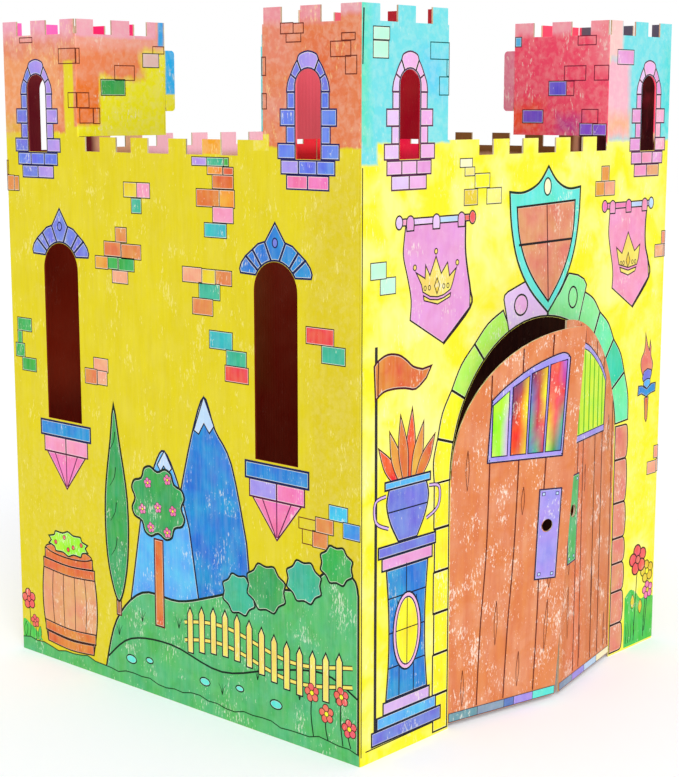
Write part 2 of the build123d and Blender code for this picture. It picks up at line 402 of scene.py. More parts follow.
def print_material():
    """Ink and crayon of the pictures: the colour is the mesh's own, and its alpha says how waxy it is."""
    if "print" in bpy.data.materials:
        return bpy.data.materials["print"]
    made, tree, shader = start_material("print", 0.55)
    tint = node(tree, "ShaderNodeAttribute", attribute_name="tint", attribute_type="GEOMETRY")
    wax = tint.outputs["Alpha"]
    masks = crayon_masks(tree, (130.0, 38.0, 300.0), 0.62)
    drift = noise(tree, object_place(tree), 26.0, 2.0)
    turn = node(tree, "ShaderNodeMapRange", {"Value": drift, "From Min": 0.3, "From Max": 0.7,
                                             "To Min": -0.018, "To Max": 0.018})
    hue = maths(tree, "MULTIPLY_ADD", turn.outputs[0], wax, 0.5)
    base = node(tree, "ShaderNodeHueSaturation", {"Color": tint.outputs["Color"], "Hue": hue}).outputs[0]
    colour, deeper = base, blend_in(tree, base, base, 1.0, "MULTIPLY")
    for label, over, strength in (("Blotches", deeper, 0.24), ("Streaks", PAPER, 0.06), ("Specks", PAPER, 0.52)):
        waxy = maths(tree, "MULTIPLY", maths(tree, "MULTIPLY", masks[label], wax), strength)
        colour = blend_in(tree, colour, over, waxy)
    tree.links.new(colour, shader.inputs["Base Color"])
    add_tooth(tree, shader, 0.2, 0.0002)
    return made


# ---- drawing --------------------------------------------------------------------------------

def flowing(points, steps, closed=True):
    """Points along a smooth line through the given ones."""
    spots = [Vector(p) for p in points]
    count = len(spots)
    line = []
    for i in range(count if closed else count - 1):
        if closed:
            a, b, c, d = (spots[(i + k) % count] for k in (-1, 0, 1, 2))
        else:
            a, b, c, d = (spots[min(max(i + k, 0), count - 1)] for k in (-1, 0, 1, 2))
        line += interpolate_bezier(b, b + (c - a) / 6, c - (d - b) / 6, c, steps + 1)[:-1]
    if not closed:
        line.append(spots[-1])
    return line


def curve(points, steps):
    """Points along a smooth open line through the given ones."""
    return flowing(points, steps, closed=False)


def arc(x, y, rx, ry, start, end, steps):
    """Points along a round or oval arc, its angles in degrees."""
    turns = [math.radians(start + (end - start) * i / steps) for i in range(steps + 1)]
    return [Vector((x + rx * math.cos(a), y + ry * math.sin(a))) for a in turns]


def oval(x, y, rx, ry, steps=20):
    """Points round a closed oval."""
    return arc(x, y, rx, ry, 0, 360, steps)[:-1]


def lobes(x, z, across, up, count, full, dented, every=2):
    """Points round an oval of leaves, every so many of them drawn in."""
    turns = [(math.tau * i / count, full if i % every else dented) for i in range(count)]
    return [(x + across * r * math.cos(a), z + up * r * math.sin(a)) for a, r in turns]


def block(u, z, w, h):
    """Corners of an upright rectangle from its lower left one."""
    return [Vector(p) for p in ((u, z), (u + w, z), (u + w, z + h), (u, z + h))]


def ring_stone(outer, inner, overlap=OVERLAP):
    """The outline of a ring stone from its outer and inner edges, both run on past the joints that it shares."""
    def longer(edge):
        spots = [Vector(p) for p in edge]
        spots[0] += (spots[0] - spots[1]).normalized() * overlap
        spots[-1] += (spots[-1] - spots[-2]).normalized() * overlap
        return spots
    return longer(outer) + longer(inner)[::-1]


def open_corners(outline, reach):
    """Drop repeated points, and points that crowd a sharp corner, so that a line this wide turns it cleanly."""
    spots = []
    for p in outline:
        p = Vector(p[:2])
        if not spots or (p - spots[-1]).length > POINT_SPACING:
            spots.append(p)
    if (spots[0] - spots[-1]).length < POINT_SPACING:
        spots.pop()
    count = len(spots)
    area = sum(spots[i - 1].x * spots[i].y - spots[i].x * spots[i - 1].y for i in range(count))
    corners = []
    for i in range(count):
        turn = (spots[(i + 1) % count] - spots[i]).angle_signed(spots[i] - spots[i - 1])
        turn *= math.copysign(1, area)
        if turn > math.radians(SHARP_TURN):
            corners.append((i, reach * math.tan(turn / 2) * CORNER_ROOM))
    return [p for i, p in enumerate(spots)
            if all(i == c or (p - spots[c]).length > room for c, room in corners) or i in dict(corners)]


class Drawing:
    """A picture in pen and crayon, drawn flat in millimetres and pressed onto a wall when it is done."""

    def __init__(self):
        sizes = bpy.context.scene.castle_print
        self.bm = bmesh.new()
        self.tint = self.bm.loops.layers.float_color.new("tint")
        self.fine = sizes.fine_line / MM
        self.bold = sizes.bold_line / MM
        self.gap = sizes.paper_gap / MM
        self.lift = sizes.lift / MM
        self.step = LEVEL_STEP

    def height(self, layer):
        """How high the films of a layer stand over the board."""
        return self.lift + self.step * layer

    def colour(self, faces, tint, wax=0.0):
        """Give faces a colour, and how much of the crayon's texture shows on them."""
        shade = (*colour_of(tint), wax)
        for face in faces:
            for loop in face.loops:
                loop[self.tint] = shade

    @staticmethod
    def face_out(face):
        """Turn a face of the flat drawing to the viewer."""
        face.normal_update()
        if face.normal.z < 0:
            face.normal_flip()

    def inset(self, face, thickness, tint, wax=0.0):
        """Shrink a face inside a rim of another colour."""
        rim = bmesh.ops.inset_individual(self.bm, faces=[face], thickness=thickness, use_even_offset=True)["faces"]
        self.colour(rim, tint, wax)

    def cell(self, outline, crayon, line=None, pen=None, layer=0, gap=None, wax=1.0):
        """A closed shape with a pen line round it, paper left inside the line, and crayon inside that."""
        tint = colour_of(crayon)
        line = self.fine if line is None else line
        gap = self.gap if gap is None else gap
        outline = open_corners(outline, line + gap)
        face = self.bm.faces.new([self.bm.verts.new((*p, self.height(layer))) for p in outline])
        self.face_out(face)
        if line > 0:
            self.inset(face, line, [PEN_SHADE * c for c in tint] if pen is None else pen)
        if gap > 0:
            self.inset(face, gap, [HALO_CRAYON * c + HALO_PAPER * p for c, p in zip(tint, PAPER)], HALO_WAX)
        self.colour([face], tint, wax)
        return face

    def hollow(self, outline, line, pen, layer):
        """A pen line round a shape with nothing inside it."""
        face = self.cell(outline, "white", line=line, pen=pen, layer=layer, gap=0)
        bmesh.ops.delete(self.bm, geom=[face], context="FACES_ONLY")

    def stroke(self, points, width, pen=PEN, layer=1, taper=(1.0, 1.0)):
        """A pen line along a path, as a strip whose cross rows are moved along it."""
        path = [Vector(p[:2]) for p in points]
        count = len(path) - 1
        made = bmesh.ops.create_grid(self.bm, x_segments=count, y_segments=1, size=1.0)["verts"]
        for vert in made:
            i = round((vert.co.x + 1) / 2 * count)
            along = (path[min(i + 1, count)] - path[max(i - 1, 0)]).normalized()
            thick = width / 2 * (taper[0] + (taper[1] - taper[0]) * i / count)
            side = Vector((-along.y, along.x)) * thick * vert.co.y
            vert.co = (*(path[i] + side), self.height(layer))
        self.colour({face for vert in made for face in vert.link_faces}, pen)

    def pierce(self, face, x, y, radius, tint):
        """Cut a round hole in a face, so that a hole in the board shows through the print."""
        z = face.verts[0].co.z
        edges = face.edges[:]
        bmesh.ops.delete(self.bm, geom=[face], context="FACES_ONLY")
        ring = [self.bm.verts.new((*p, z)) for p in oval(x, y, radius, radius, 24)]
        edges += [self.bm.edges.new((ring[i - 1], ring[i])) for i in range(24)]
        made = bmesh.ops.triangle_fill(self.bm, use_beauty=True, edges=edges)["geom"]
        faces = [item for item in made if isinstance(item, bmesh.types.BMFace)]
        for part in faces:
            self.face_out(part)
        self.colour(faces, tint, 1.0)

    def bricks(self, table, pen=None):
        """Bricks whose pen lines are shared with their neighbours; one without a crayon is only outlined."""
        line = self.fine
        for i, (u, z, w, h, *crayon) in enumerate(table):
            low, high = max(u - line / 2, END_CLEARANCE), min(u + w + line / 2, WIDTH - END_CLEARANCE)
            outline = block(low, z - line / 2, high - low, h + line)
            if crayon:
                self.cell(outline, crayon[0], pen=pen, layer=0.5 * (i % 3))
            else:
                self.hollow(outline, line, pen, 0.5 * (i % 3))

    def wash(self, columns, foot, tops, rows, layer):
        """A patch that shades between the crayons at its grid points; rows go from the foot up to the tops."""
        wide, tall = len(columns) - 1, len(rows) - 1
        made = bmesh.ops.create_grid(self.bm, x_segments=wide, y_segments=tall, size=1.0)["verts"]
        shade = {}
        for vert in made:
            i, j = round((vert.co.x + 1) / 2 * wide), round((vert.co.y + 1) / 2 * tall)
            share, crayons = rows[j]
            shade[vert] = CRAYONS[crayons[i]]
            vert.co = (columns[i], foot + (tops[i] - foot) * share, self.height(layer))
        for face in {face for vert in made for face in vert.link_faces}:
            for loop in face.loops:
                loop[self.tint] = (*shade[loop.vert], 1.0)

    def flower(self, x, z, size, petal, heart, layer):
        """Five round petals about a heart, each on its own level."""
        for i in range(5):
            a = math.tau * i / 5 + 0.5
            spot = (x + 0.6 * size * math.cos(a), z + 0.6 * size * math.sin(a))
            self.cell(oval(*spot, 0.46 * size, 0.46 * size, 12), petal, line=0.09 * size, layer=layer + 0.25 * i,
                      gap=0)
        self.cell(oval(x, z, 0.32 * size, 0.32 * size, 12), heart, line=0.08 * size, layer=layer + 1.3, gap=0)

    def divide(self, length, step, axis):
        """Cut the picture along evenly spaced lines, so that it can follow a bent board."""
        normal = (1, 0, 0) if axis == 0 else (0, 1, 0)
        for i in range(1, int(length / step)):
            place = [0, 0, 0]
            place[axis] = i * step
            geom = self.bm.verts[:] + self.bm.edges[:] + self.bm.faces[:]
            bmesh.ops.bisect_plane(self.bm, geom=geom, plane_co=place, plane_no=normal)

    def press(self, name, wall):
        """Lay the picture on its wall as a thin film, and make it a piece that rides with the castle."""
        place, slot = wall
        if callable(place):
            for vert in self.bm.verts:
                vert.co = place(vert.co)
        else:
            bmesh.ops.transform(self.bm, matrix=place, verts=self.bm.verts)
        bmesh.ops.scale(self.bm, vec=(MM, MM, MM), verts=self.bm.verts)
        mesh = bpy.data.meshes.new(name)
        self.bm.to_mesh(mesh)
        self.bm.free()
        piece = bpy.data.objects.new(name, mesh)
        bpy.context.scene.collection.objects.link(piece)
        mesh.materials.append(print_material())
        film = piece.modifiers.new("film", "SOLIDIFY")
        film.thickness = bpy.context.scene.castle_print.film
        film.offset = -1.0
        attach(piece, "root")


def wall_place(origin, across, out):
    """The matrix that takes a flat drawing in millimetres to a wall."""
    x, y, z = Vector(across), Vector((0, 0, 1)), Vector(out)
    turn = Matrix((x, y, z)).transposed().to_4x4()
    return Matrix.Translation(Vector(origin)) @ turn


def left_leaf_place(co):
    """A point of the left leaf's drawing, u from its crease, on the twisted leaf."""
    t = (co.y - LEAF_FOOT) / LEAF_RISE
    low, high = math.radians(LEAF_FOOT_ANGLE), math.radians(LEAF_TOP_ANGLE)
    run = Vector((math.cos(low), -math.sin(low), 0)) * (1 - t) + Vector((math.cos(high), -math.sin(high), 0)) * t
    out = Vector((run.y, -run.x, 0)).normalized()
    crease = Vector((LEFT_X + DOOR_CENTRE - DOOR_RADIUS, FRONT_Y, co.y))
    return crease + run * co.x + out * (co.z + LEAF_CLEARANCE)


def right_leaf_place(co):
    """A point of the right leaf's drawing, u running back from its crease."""
    angle = math.radians(LEAF_FOOT_ANGLE)
    run = Vector((math.cos(angle), math.sin(angle), 0))
    out = Vector((math.sin(angle), -math.cos(angle), 0))
    crease = Vector((LEFT_X + DOOR_CENTRE + DOOR_RADIUS, FRONT_Y, co.y))
    return crease + run * co.x + out * (co.z + LEAF_CLEARANCE)


# Where a drawing goes, and the slot of the board that it lies on.
LEFT = (wall_place((LEFT_X, BACK_Y, 0), (0, -1, 0), (-1, 0, 0)), "board_left")
FRONT = (wall_place((LEFT_X, FRONT_Y, 0), (1, 0, 0), (0, -1, 0)), "board_front")
RIGHT = (wall_place((RIGHT_X, FRONT_Y, 0), (0, 1, 0), (1, 0, 0)), "board_front")
BACK = (wall_place((RIGHT_X, BACK_Y, 0), (-1, 0, 0), (0, 1, 0)), "board_left")
LEFT_FLAP = (wall_place((LEFT_X, BACK_Y - TOWER, 0), (1, 0, 0), (0, -1, 0)), "board_left")
RIGHT_FLAP = (wall_place((FLAP, FRONT_Y + TOWER, 0), (0, -1, 0), (-1, 0, 0)), "board_front")
LEFT_LEAF = (left_leaf_place, "board_front")
RIGHT_LEAF = (right_leaf_place, "board_front")


# ---- board ----------------------------------------------------------------------------------

def finish_for(face):
    """Which finish a face of the board has, from where it lies and which way it looks."""
    x, y, z = (c / MM for c in face.center)
    nx, ny, nz = face.normal
    dx, dy = abs(x), abs(y - MIDDLE_Y)
    outward_x = nx * math.copysign(1, x)
    outward_y = ny * math.copysign(1, y - MIDDLE_Y)
    # the leaves stand ajar in front of the wall
    if y < FRONT_Y - LEAF_SLACK:
        return "door_print" if ny < -LEAF_SQUARE else "kraft_liner" if ny > LEAF_SQUARE else "cut_edge"
    for away, thin, across, (low, high) in ((dx, y < FRONT_Y + BOARD, ny, DOORWAY_CUTS),
                                            (dy, x < LEFT_X + BOARD, nx, TALL_WINDOW_CUTS)):
        beside_window = TOWER_WINDOW_CUTS[0] < z < TOWER_WINDOW_CUTS[1] and away > FLAP + CORNER_MARGIN
        if thin and abs(across) < CUT_SQUARE and away < HALF - END_MARGIN and (low < z < high or beside_window):
            return "kraft_liner"
    if abs(nz) > SQUARE:
        return "cut_edge"

    def lies(depth, looks, slack=FACE_SLACK):
        """Whether the face is this far from the middle and looks outwards (1) or inwards (-1)."""
        return any(abs(away - depth) < slack and looks * outward > SQUARE
                   for away, outward in ((dx, outward_x), (dy, outward_y)))

    if dx > HALF - PRINT_SLACK and outward_x > SQUARE:
        return "left_print" if x < 0 else "right_print"
    if dy > HALF - PRINT_SLACK and outward_y > SQUARE:
        return "front_print" if y < MIDDLE_Y else "back_print"
    if z > WALL_TOP and lies(FLAP, -1, PRINT_SLACK):
        return "flap_print"
    # the inner faces of the walls, of the glue laps one board further in, and of the tower flaps
    if lies(HALF - BOARD, -1) or lies(HALF - 2 * BOARD, -1) or lies(FLAP + BOARD, 1):
        return "kraft_liner"
    return "cut_edge"


def liner_material(colours):
    """Bare kraft liner with painted shade low down inside, painted light and shade in the towers, and a painted glow
    above the room.
    """
    made, tree, shader = start_material("kraft_liner", 0.75)
    colour = tuple(colours.kraft)
    far_y, near_y = BACK_Y - TOWER, FRONT_Y + TOWER
    fields = (
        # painted shade of the room, dark below the battlements and redder towards the far left corner
        ("761400", (-FAR, -FAR, -9), (FAR, FAR, 868), 26, 6),
        ("942000", (-FAR, BACK_Y - 60, 430), (-90, FAR, 900), 60, 6),
        ("70380A", (-90, BACK_Y - 60, 380), (250, FAR, 700), 90, 6),
        ("2A0A06", (RIGHT_X - 60, near_y - 9, -9), (FAR, far_y, 868), 26, 6),
        ("724822", (RIGHT_X - 60, near_y - 9, 868), (FAR, far_y + 99, 999), 14, 6),
        # painted light on the lit tops of the far walls
        ("FCBCCA", (-100, BACK_Y - 60, 868), (270, FAR, 999), 14, 6),
        ("F8374A", (270, BACK_Y - 60, 840), (FAR, FAR, 930), 14, 6),
        ("E80A40", (RIGHT_X - 60, 150, 840), (FAR, 320, 930), 14, 6),
        # painted shade: near black in the doorway, dark below the near right tower
        ("180604", (-FAR, -FAR, 20), (FAR, FRONT_Y + 60, 660), 10, 2),
        ("420618", (RIGHT_X - TOWER - 9, -FAR, 840), (FAR, near_y + 1, 917), 14, 2),
        # the near tower: painted light on its liner, deeper painted shade in a low band and on its inner side
        ("DD606E", (-FAR, -FAR, 884), (LEFT_X + TOWER + 9, near_y + 9, 1190), 10, 6),
        ("CC2C38", (-FAR, -FAR, 876), (LEFT_X + TOWER + 9, near_y + 9, 916), 4, 2),
        ("980020", (LEFT_X + 120, -FAR, 884), (LEFT_X + TOWER + 9, near_y - 8, 1190), 3, 2),
        # the far left tower: painted shade low down, painted light in pink and crimson above
        ("641222", (-FAR, far_y - 9, 860), (LEFT_X + TOWER + 9, FAR, 1062), 20, 6),
        ("FF6ABC", (-FAR, far_y - 9, 1062), (LEFT_X + 128, FAR, 1190), 6, 4),
        ("E8246C", (LEFT_X + 128, far_y - 9, 1062), (LEFT_X + TOWER + 9, FAR, 1190), 6, 4),
        # the far right tower: painted light on its liner, painted shade low on its outer side with a grey tone above
        ("F84A6A", (RIGHT_X - TOWER - 9, -FAR, 917), (FAR, near_y + 9, 1190), 6, 4),
        ("2C0810", (RIGHT_X - 9, -FAR, 860), (FAR, near_y - 6, 1058), 6, 2),
        ("485060", (RIGHT_X - 9, -FAR, 1058), (FAR, near_y - 6, 1190), 4, 2),
    )
    for tint, low, high, soft, ragged in fields:
        colour = blend_in(tree, colour, tint, in_box(tree, low, high, soft, ragged))
    colour = crayon_over(tree, colour, ("8A4A30", 0.06), ("F0B080", 0.03), ("F0DCC0", 0.04), 0.44,
                         (140.0, 9.0, 500.0))
    tree.links.new(colour, shader.inputs["Base Color"])
    # a painted glow: above the room the liner emits its own colour, standing in for daylight soaking through the thin
    # board
    glow = blend_in(tree, (0, 0, 0), colour, in_box(tree, (-FAR, -FAR, 868), (FAR, FAR, 1200), 20, 0))
    tree.links.new(glow, shader.inputs["Emission Color"])
    shader.inputs["Emission Strength"].default_value = 0.35
    add_tooth(tree, shader, 0.5, 0.0004)
    return made


def edge_material(colours):
    """Cut edge of corrugated board: pale liners with the fluted paper waving between them."""
    made, tree, shader = start_material("cut_edge", 0.85)
    flutes = add_tooth(tree, shader, 1.0, 0.0008, 0.8)
    shade = ramp(tree, flutes.outputs["Wave"], -0.4, 0.9)
    colour = blend_in(tree, colours.cut_edge, "A8845C", maths(tree, "MULTIPLY", shade, 0.55))
    colour = crayon_over(tree, colour, ("C8A880", 0.3), ("F0E4C4", 0.4), ("FFF6E0", 0.5), 0.5, (300.0, 40.0, 700.0))
    tree.links.new(colour, shader.inputs["Base Color"])
    return made


def left_fields(colours):
    """Crayon fields of the left wall and its two towers: u -20 and 830, z -9 and 1200 lie past the wall's edges."""
    def band(tint, u0, u1, z0, z1, soft=6, ragged=10):
        return (tint, (LEFT_X - 40, BACK_Y - u1, z0), (LEFT_X + 40, BACK_Y - u0, z1), soft, ragged)

    orange, pink = tuple(colours.tower_orange), tuple(colours.tower_pink)
    return [
        band("D2B808", 690, 830, -9, 905, 90, 30),
        band("DCCA0C", -9, 560, -9, 420, 120, 60),
        band(orange, -20, 164, 920, 1200, 5, 10),
        band("E08050", 184, 200, 931, 1040, 4, 6),
        band(orange, 150, 200, 1035, 1200, 6, 8),
        band("E8945C", -20, 164, 930, 1060, 20, 30),
        band("DEA838", -20, 60, 905, 960, 30, 30),
        band("E28C76", -20, 200, 1040, 1200, 40, 40),
        band(pink, -20, 200, 1066, 1200, 26, 16),
        band("F0A018", 491, 531, 893, 930, 2, 1),
        band(orange, 616, 830, 905, 1200, 4, 10),
        band("E8D61C", 600, 634, 900, 926, 2, 2),
        band("E0CE0C", 656, 780, 890, 908, 6, 10),
        band("DC6C3C", 690, 800, 960, 1085, 40, 40),
        band("E0826A", 600, 700, 1000, 1200, 50, 50),
        band("E48C94", 600, 770, 1076, 1200, 14, 10),
        band("E29CA4", 760, 830, 1086, 1200, 10, 10),
        band("DE866E", 600, 690, 925, 1000, 40, 40),
    ]


def front_fields(colours):
    """Crayon fields of the front wall and its two towers."""
    def band(tint, u0, u1, z0, z1, soft=6, ragged=10):
        return (tint, (LEFT_X + u0, FRONT_Y - 40, z0), (LEFT_X + u1, FRONT_Y + 40, z1), soft, ragged)

    cyan = tuple(colours.tower_cyan)
    return [
        band("FFFBB0", 80, 200, 380, 700, 120, 60),
        band("FFF014", 690, 830, 200, 640, 60, 60),
        band("FAEC1A", 786, 830, -9, 900, 30, 20),
        band(cyan, -20, 200, 911, 1200, 5, 8),
        band(cyan, -20, 36, 881, 940, 5, 6),
        band("5CE0C0", -20, 26, 900, 1200, 20, 16),
        band("62D0EC", 110, 200, 960, 1060, 40, 40),
        band(cyan, 619, 830, 905, 1200, 6, 10),
        band("F4B4C4", 600, 690, 905, 1050, 16, 20),
        band("F6C4C0", 600, 664, 1040, 1200, 10, 10),
        band("F6B088", 600, 700, 905, 965, 30, 24),
        band("48D8D4", 775, 830, 905, 1080, 30, 30),
    ]


def flap_fields(colours):
    """Crayon fields of the tower flaps' printed faces, each flap in its own part of the castle."""
    fields = [("6EDCE2", (-FAR, -FAR, 900), (FAR, FAR, 1200), 6, 6)]

    def far_left(tint, u0, u1, z0, z1, soft=6, ragged=10):
        fields.append((tint, (LEFT_X + u0, BACK_Y - TOWER - 40, z0), (LEFT_X + u1, BACK_Y + 40, z1), soft, ragged))

    def far_right(tint, u0, u1, z0, z1, soft=6, ragged=10):
        fields.append((tint, (FLAP - 40, FRONT_Y + TOWER - u1, z0), (RIGHT_X + 40, FRONT_Y + TOWER - u0, z1), soft,
                       ragged))

    far_left("FFF704", -20, 240, 900, 1200)
    far_left("FC7E2C", -20, 52, 931, 1200, 8, 8)
    far_left("FC8C56", -20, 150, 1004, 1200, 16, 30)
    far_left("FFA68E", -20, 200, 1050, 1200, 16, 20)
    far_left("FFAEBE", -20, 178, 1074, 1200, 5, 8)
    far_left("34AEF2", 178, 193.5, 1064, 1200, 3, 4)
    far_left("2ABEFF", 193.5, 240, 984, 1200, 3, 3)
    far_right(tuple(colours.tower_crimson), -40, 240, 900, 1200)
    far_right("FF4A1C", -40, 70, 905, 985, 30, 30)
    far_right("CC3894", 80, 150, 905, 960, 30, 30)
    far_right("FFA0AE", -40, 240, 1080, 1200, 10, 12)
    far_right("E87C94", -40, 1, 900, 1070, 3, 4)
    far_right("FC8490", 150, 240, 1010, 1200, 30, 30)
    return fields


def door_fields():
    """Redder crayon on the right leaf, as a box in the castle's frame."""
    return [("E8703C", (60, FRONT_Y - 90, -9), (150, FRONT_Y + 9, 640), 60, 40)]


class CASTLE_OT_finish_board(bpy.types.Operator):
    """Give both folded sheets their printed faces, kraft liner and cut edges"""
    bl_idname = "castle.finish_board"
    bl_label = "Finish the Board"

    def execute(self, context):
        colours = context.scene.castle_colours
        left, gold_streak = colours.left_yellow, ("D2BE06", 0.3)
        hidden = (gold_streak, ("F4E43A", 0.4), (PAPER, 0.4), 0.50, (85.0, 12.0, 240.0))
        # ground, fields, then (colour, strength) of the streaks, blotches and specks, the specks' cover, three scales
        prints = {
            "left_print": (left, left_fields(colours), gold_streak, ("EADA24", 0.3), ("FFF4A0", 0.36), 0.60,
                           (85.0, 14.0, 240.0)),
            "front_print": (colours.front_lemon, front_fields(colours), ("FFEE00", 0.2), ("FFFCA8", 0.65),
                            (PAPER, 0.25), 0.5, (60.0, 15.0, 260.0)),
            "right_print": (left, self.hidden_fields(colours, 0), *hidden),
            "back_print": (left, self.hidden_fields(colours, 1), *hidden),
            "flap_print": (left, flap_fields(colours), gold_streak, ("F4E43A", 0.3), (PAPER, 0.5), 0.62,
                           (110.0, 22.0, 240.0)),
            "door_print": (colours.door_orange, door_fields(), ("CC5E30", 0.5), ("E8A684", 0.5), ("FFF0E0", 0.72),
                           0.78, (75.0, 22.0, 400.0)),
        }
        finishes = {name: board_material(name, *look) for name, look in prints.items()}
        finishes["kraft_liner"] = liner_material(colours)
        finishes["cut_edge"] = edge_material(colours)
        for sheet in ("back_and_left_blank", "front_and_right_blank"):
            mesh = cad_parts[sheet].data
            mesh.materials.clear()
            for finish in finishes.values():
                mesh.materials.append(finish)
            for face in mesh.polygons:
                face.material_index = list(finishes).index(finish_for(face))
        return {"FINISHED"}

    def hidden_fields(self, colours, axis):
        """Plain tower colours of a wall that the photograph doesn't show."""
        fields = []
        middle = (MIDDLE_Y, 0)[axis]
        for side in (-1, 1):
            low, high = [-FAR, -FAR, 905], [FAR, FAR, 1200]
            low[1 - axis], high[1 - axis] = sorted((middle + side * FLAP, middle + side * FAR))
            fields.append((colours.tower_orange, low, high, 6, 12))
            fields.append((colours.tower_pink, (*low[:2], 1072), high, 8, 10))
        return fields


# ---- pictures -------------------------------------------------------------------------------

LEFT_BRICKS = (
    # u, z, width, height, crayon
    (0, 823, 20, 26, "orange"), (20, 823, 13, 25, "orange"), (306, 822, 32, 24, "gold"), (337, 822, 32, 24, "pink"),
    (324, 797, 24, 24, "teal"), (283, 749, 28, 24, "orange"), (254, 725, 42, 24, "orange"),
    (297, 723, 48, 24, "orange"), (231, 703, 32, 21, "amber"), (262, 704, 26, 20, "green"),
    (289, 703, 39, 21, "green"), (273, 682, 39, 21, "peach"), (467, 876, 33, 13, "lavender"),
    (500, 876, 37, 13, "teal"), (537, 876, 11, 13, "green"), (501, 863, 34, 13, "ochre"),
    (536, 863, 22, 12, "tangerine"), (512, 842, 46, 21, "tangerine"), (476, 814, 51, 27, "tangerine"),
    (527, 814, 33, 27, "ochre"), (512, 791, 45, 24, "pink"), (493, 768, 49, 22, "lagoon"),
    (442, 696, 44, 24, "peach"), (486, 696, 30, 23, "gold"), (516, 696, 36, 23, "orange"), (479, 672, 47, 25, "teal"),
    (464, 647, 46, 26, "orange"), (501, 597, 51, 28, "lagoon"), (538, 573, 44, 25, "teal"), (535, 549, 51, 25, "red"),
    (706, 624, 55, 25, "red"), (737, 598, 46, 26, "teal"), (16, 581, 39, 23, "green"), (15, 558, 13, 23, "green"),
    (9, 535, 25, 24, "green"), (26, 512, 39, 23, "green"), (220, 531, 37, 23, "peach"), (197, 508, 31, 26, "orange"),
    (229, 509, 25, 24, "peach"), (751, 367, 37, 23, "cyan"), (779, 344, 33, 24, "blue"), (724, 344, 36, 23, "orange"),
    (718, 320, 31, 25, "orange"),
)
LEFT_OUTLINES = (
    (690, 344, 34, 17), (697, 322, 21, 22), (658, 1067, 25, 15), (683, 1067, 20, 14), (669, 1055, 29, 12),
    (776, 1055, 25, 10), (755, 1033, 38, 21), (783, 1009, 21, 25), (619.5, 1009, 8, 26), (619.5, 961, 9, 22),
    (47, 1070, 34, 8), (150, 1034, 43, 24), (172, 963, 21, 24), (0, 850, 5, 24),
)
FLAP_OUTLINES = (
    (82, 1008, 43, 24), (6, 938, 29, 24), (34, 937, 14, 25), (167, 1053, 25, 12), (0, 1034, 8, 24), (0, 963, 26, 24),
)
RIGHT_FLAP_OUTLINES = (
    (130, 1066, 36, 15), (104, 1008, 43, 24), (109, 983, 15, 24), (164, 1008, 28, 24), (141, 937, 32, 23),
)
FRONT_OUTLINES = ((150, 1032, 43, 24), (171, 981, 22, 26), (188, 1008, 5, 24))
FRONT_BRICKS = (
    (24, 1056, 35, 18, "pale mint"), (24, 1031, 33, 24, "pale mint"), (20, 722, 34, 24, "pale mint"),
    (41, 699, 34, 24, "pale mint"), (222, 875, 30, 13, "cream"), (234, 862, 24, 13, "buttermilk"),
    (259, 843, 37, 22, "yellow"), (233, 818, 33, 24, "gold"), (289, 818, 37, 24, "buttermilk"),
    (604, 842, 23, 25, "amber"), (587, 818, 27, 24, "amber"), (614, 818, 31, 24, "peach"),
    (800, 726, 13, 23, "salmon"), (779, 704, 28, 22, "peach"), (807, 704, 6, 22, "salmon"),
    (798, 340, 15, 23, "peach"), (777, 313, 30, 23, "peach"), (807, 315, 6, 23, "peach"), (643, 1034, 50, 24, "rose"),
)


class CASTLE_OT_print_bricks(bpy.types.Operator):
    """Print the scattered bricks on the walls and towers"""
    bl_idname = "castle.print_bricks"
    bl_label = "Print the Bricks"

    def execute(self, context):
        left = Drawing()
        left.bricks(LEFT_BRICKS)
        left.bricks(LEFT_OUTLINES, pen="6A2414")
        left.press("bricks_left_wall", LEFT)

        front = Drawing()
        front.bricks(FRONT_BRICKS)
        front.bricks(FRONT_OUTLINES, pen="106060")
        # the pen lines down the near corner and along the foot of the wall
        front.stroke([(2.4, 880), (1.8, 600), (2.4, 300), (2.0, 14)], 1.9, layer=0)
        front.stroke([(4.4, 1098), (3.2, 1060), (2.4, 1022)], 4.4, "143C34", layer=0, taper=(0.7, 0.5))
        front.stroke([(12, 20), (110, 21), (205, 22)], 1.9, layer=0)
        front.press("bricks_front_wall", FRONT)

        flap = Drawing()
        flap.bricks(FLAP_OUTLINES, pen="7A3018")
        flap.bricks(((52, 983, 52, 26, "green"), (144, 1030, 36, 23, "F4D0C8")))
        flap.press("bricks_far_left_tower", LEFT_FLAP)

        flap = Drawing()
        flap.bricks(RIGHT_FLAP_OUTLINES, pen="7A1030")
        flap.bricks(((0, 1066, 14, 16, "sky"), (73, 983, 36, 24, "6A5CE0"), (19, 937, 43, 22, "8A58D8"),
                     (137, 917, 26, 20, "violet"), (163, 917, 27, 19, "violet")))
        flap.press("bricks_far_right_tower", RIGHT_FLAP)

        plain = (
            (330, 822, "orange"), (362, 822, "gold"), (346, 798, "teal"), (520, 699, "orange"), (552, 699, "peach"),
            (536, 675, "green"), (180, 610, "pink"), (212, 610, "gold"), (690, 521, "red"), (706, 545, "orange"),
            (90, 330, "sky"), (122, 330, "teal"), (400, 420, "orange"), (432, 420, "amber"), (416, 396, "pink"),
            (600, 230, "gold"), (632, 230, "orange"), (230, 160, "teal"), (262, 160, "peach"),
        )
        for name, wall, shift in (("bricks_right_wall", RIGHT, 0), ("bricks_back_wall", BACK, 24)):
            bricks = Drawing()
            bricks.bricks([(u + shift, z - shift / 2, 32, 24, crayon) for u, z, crayon in plain])
            bricks.press(name, wall)
        return {"FINISHED"}


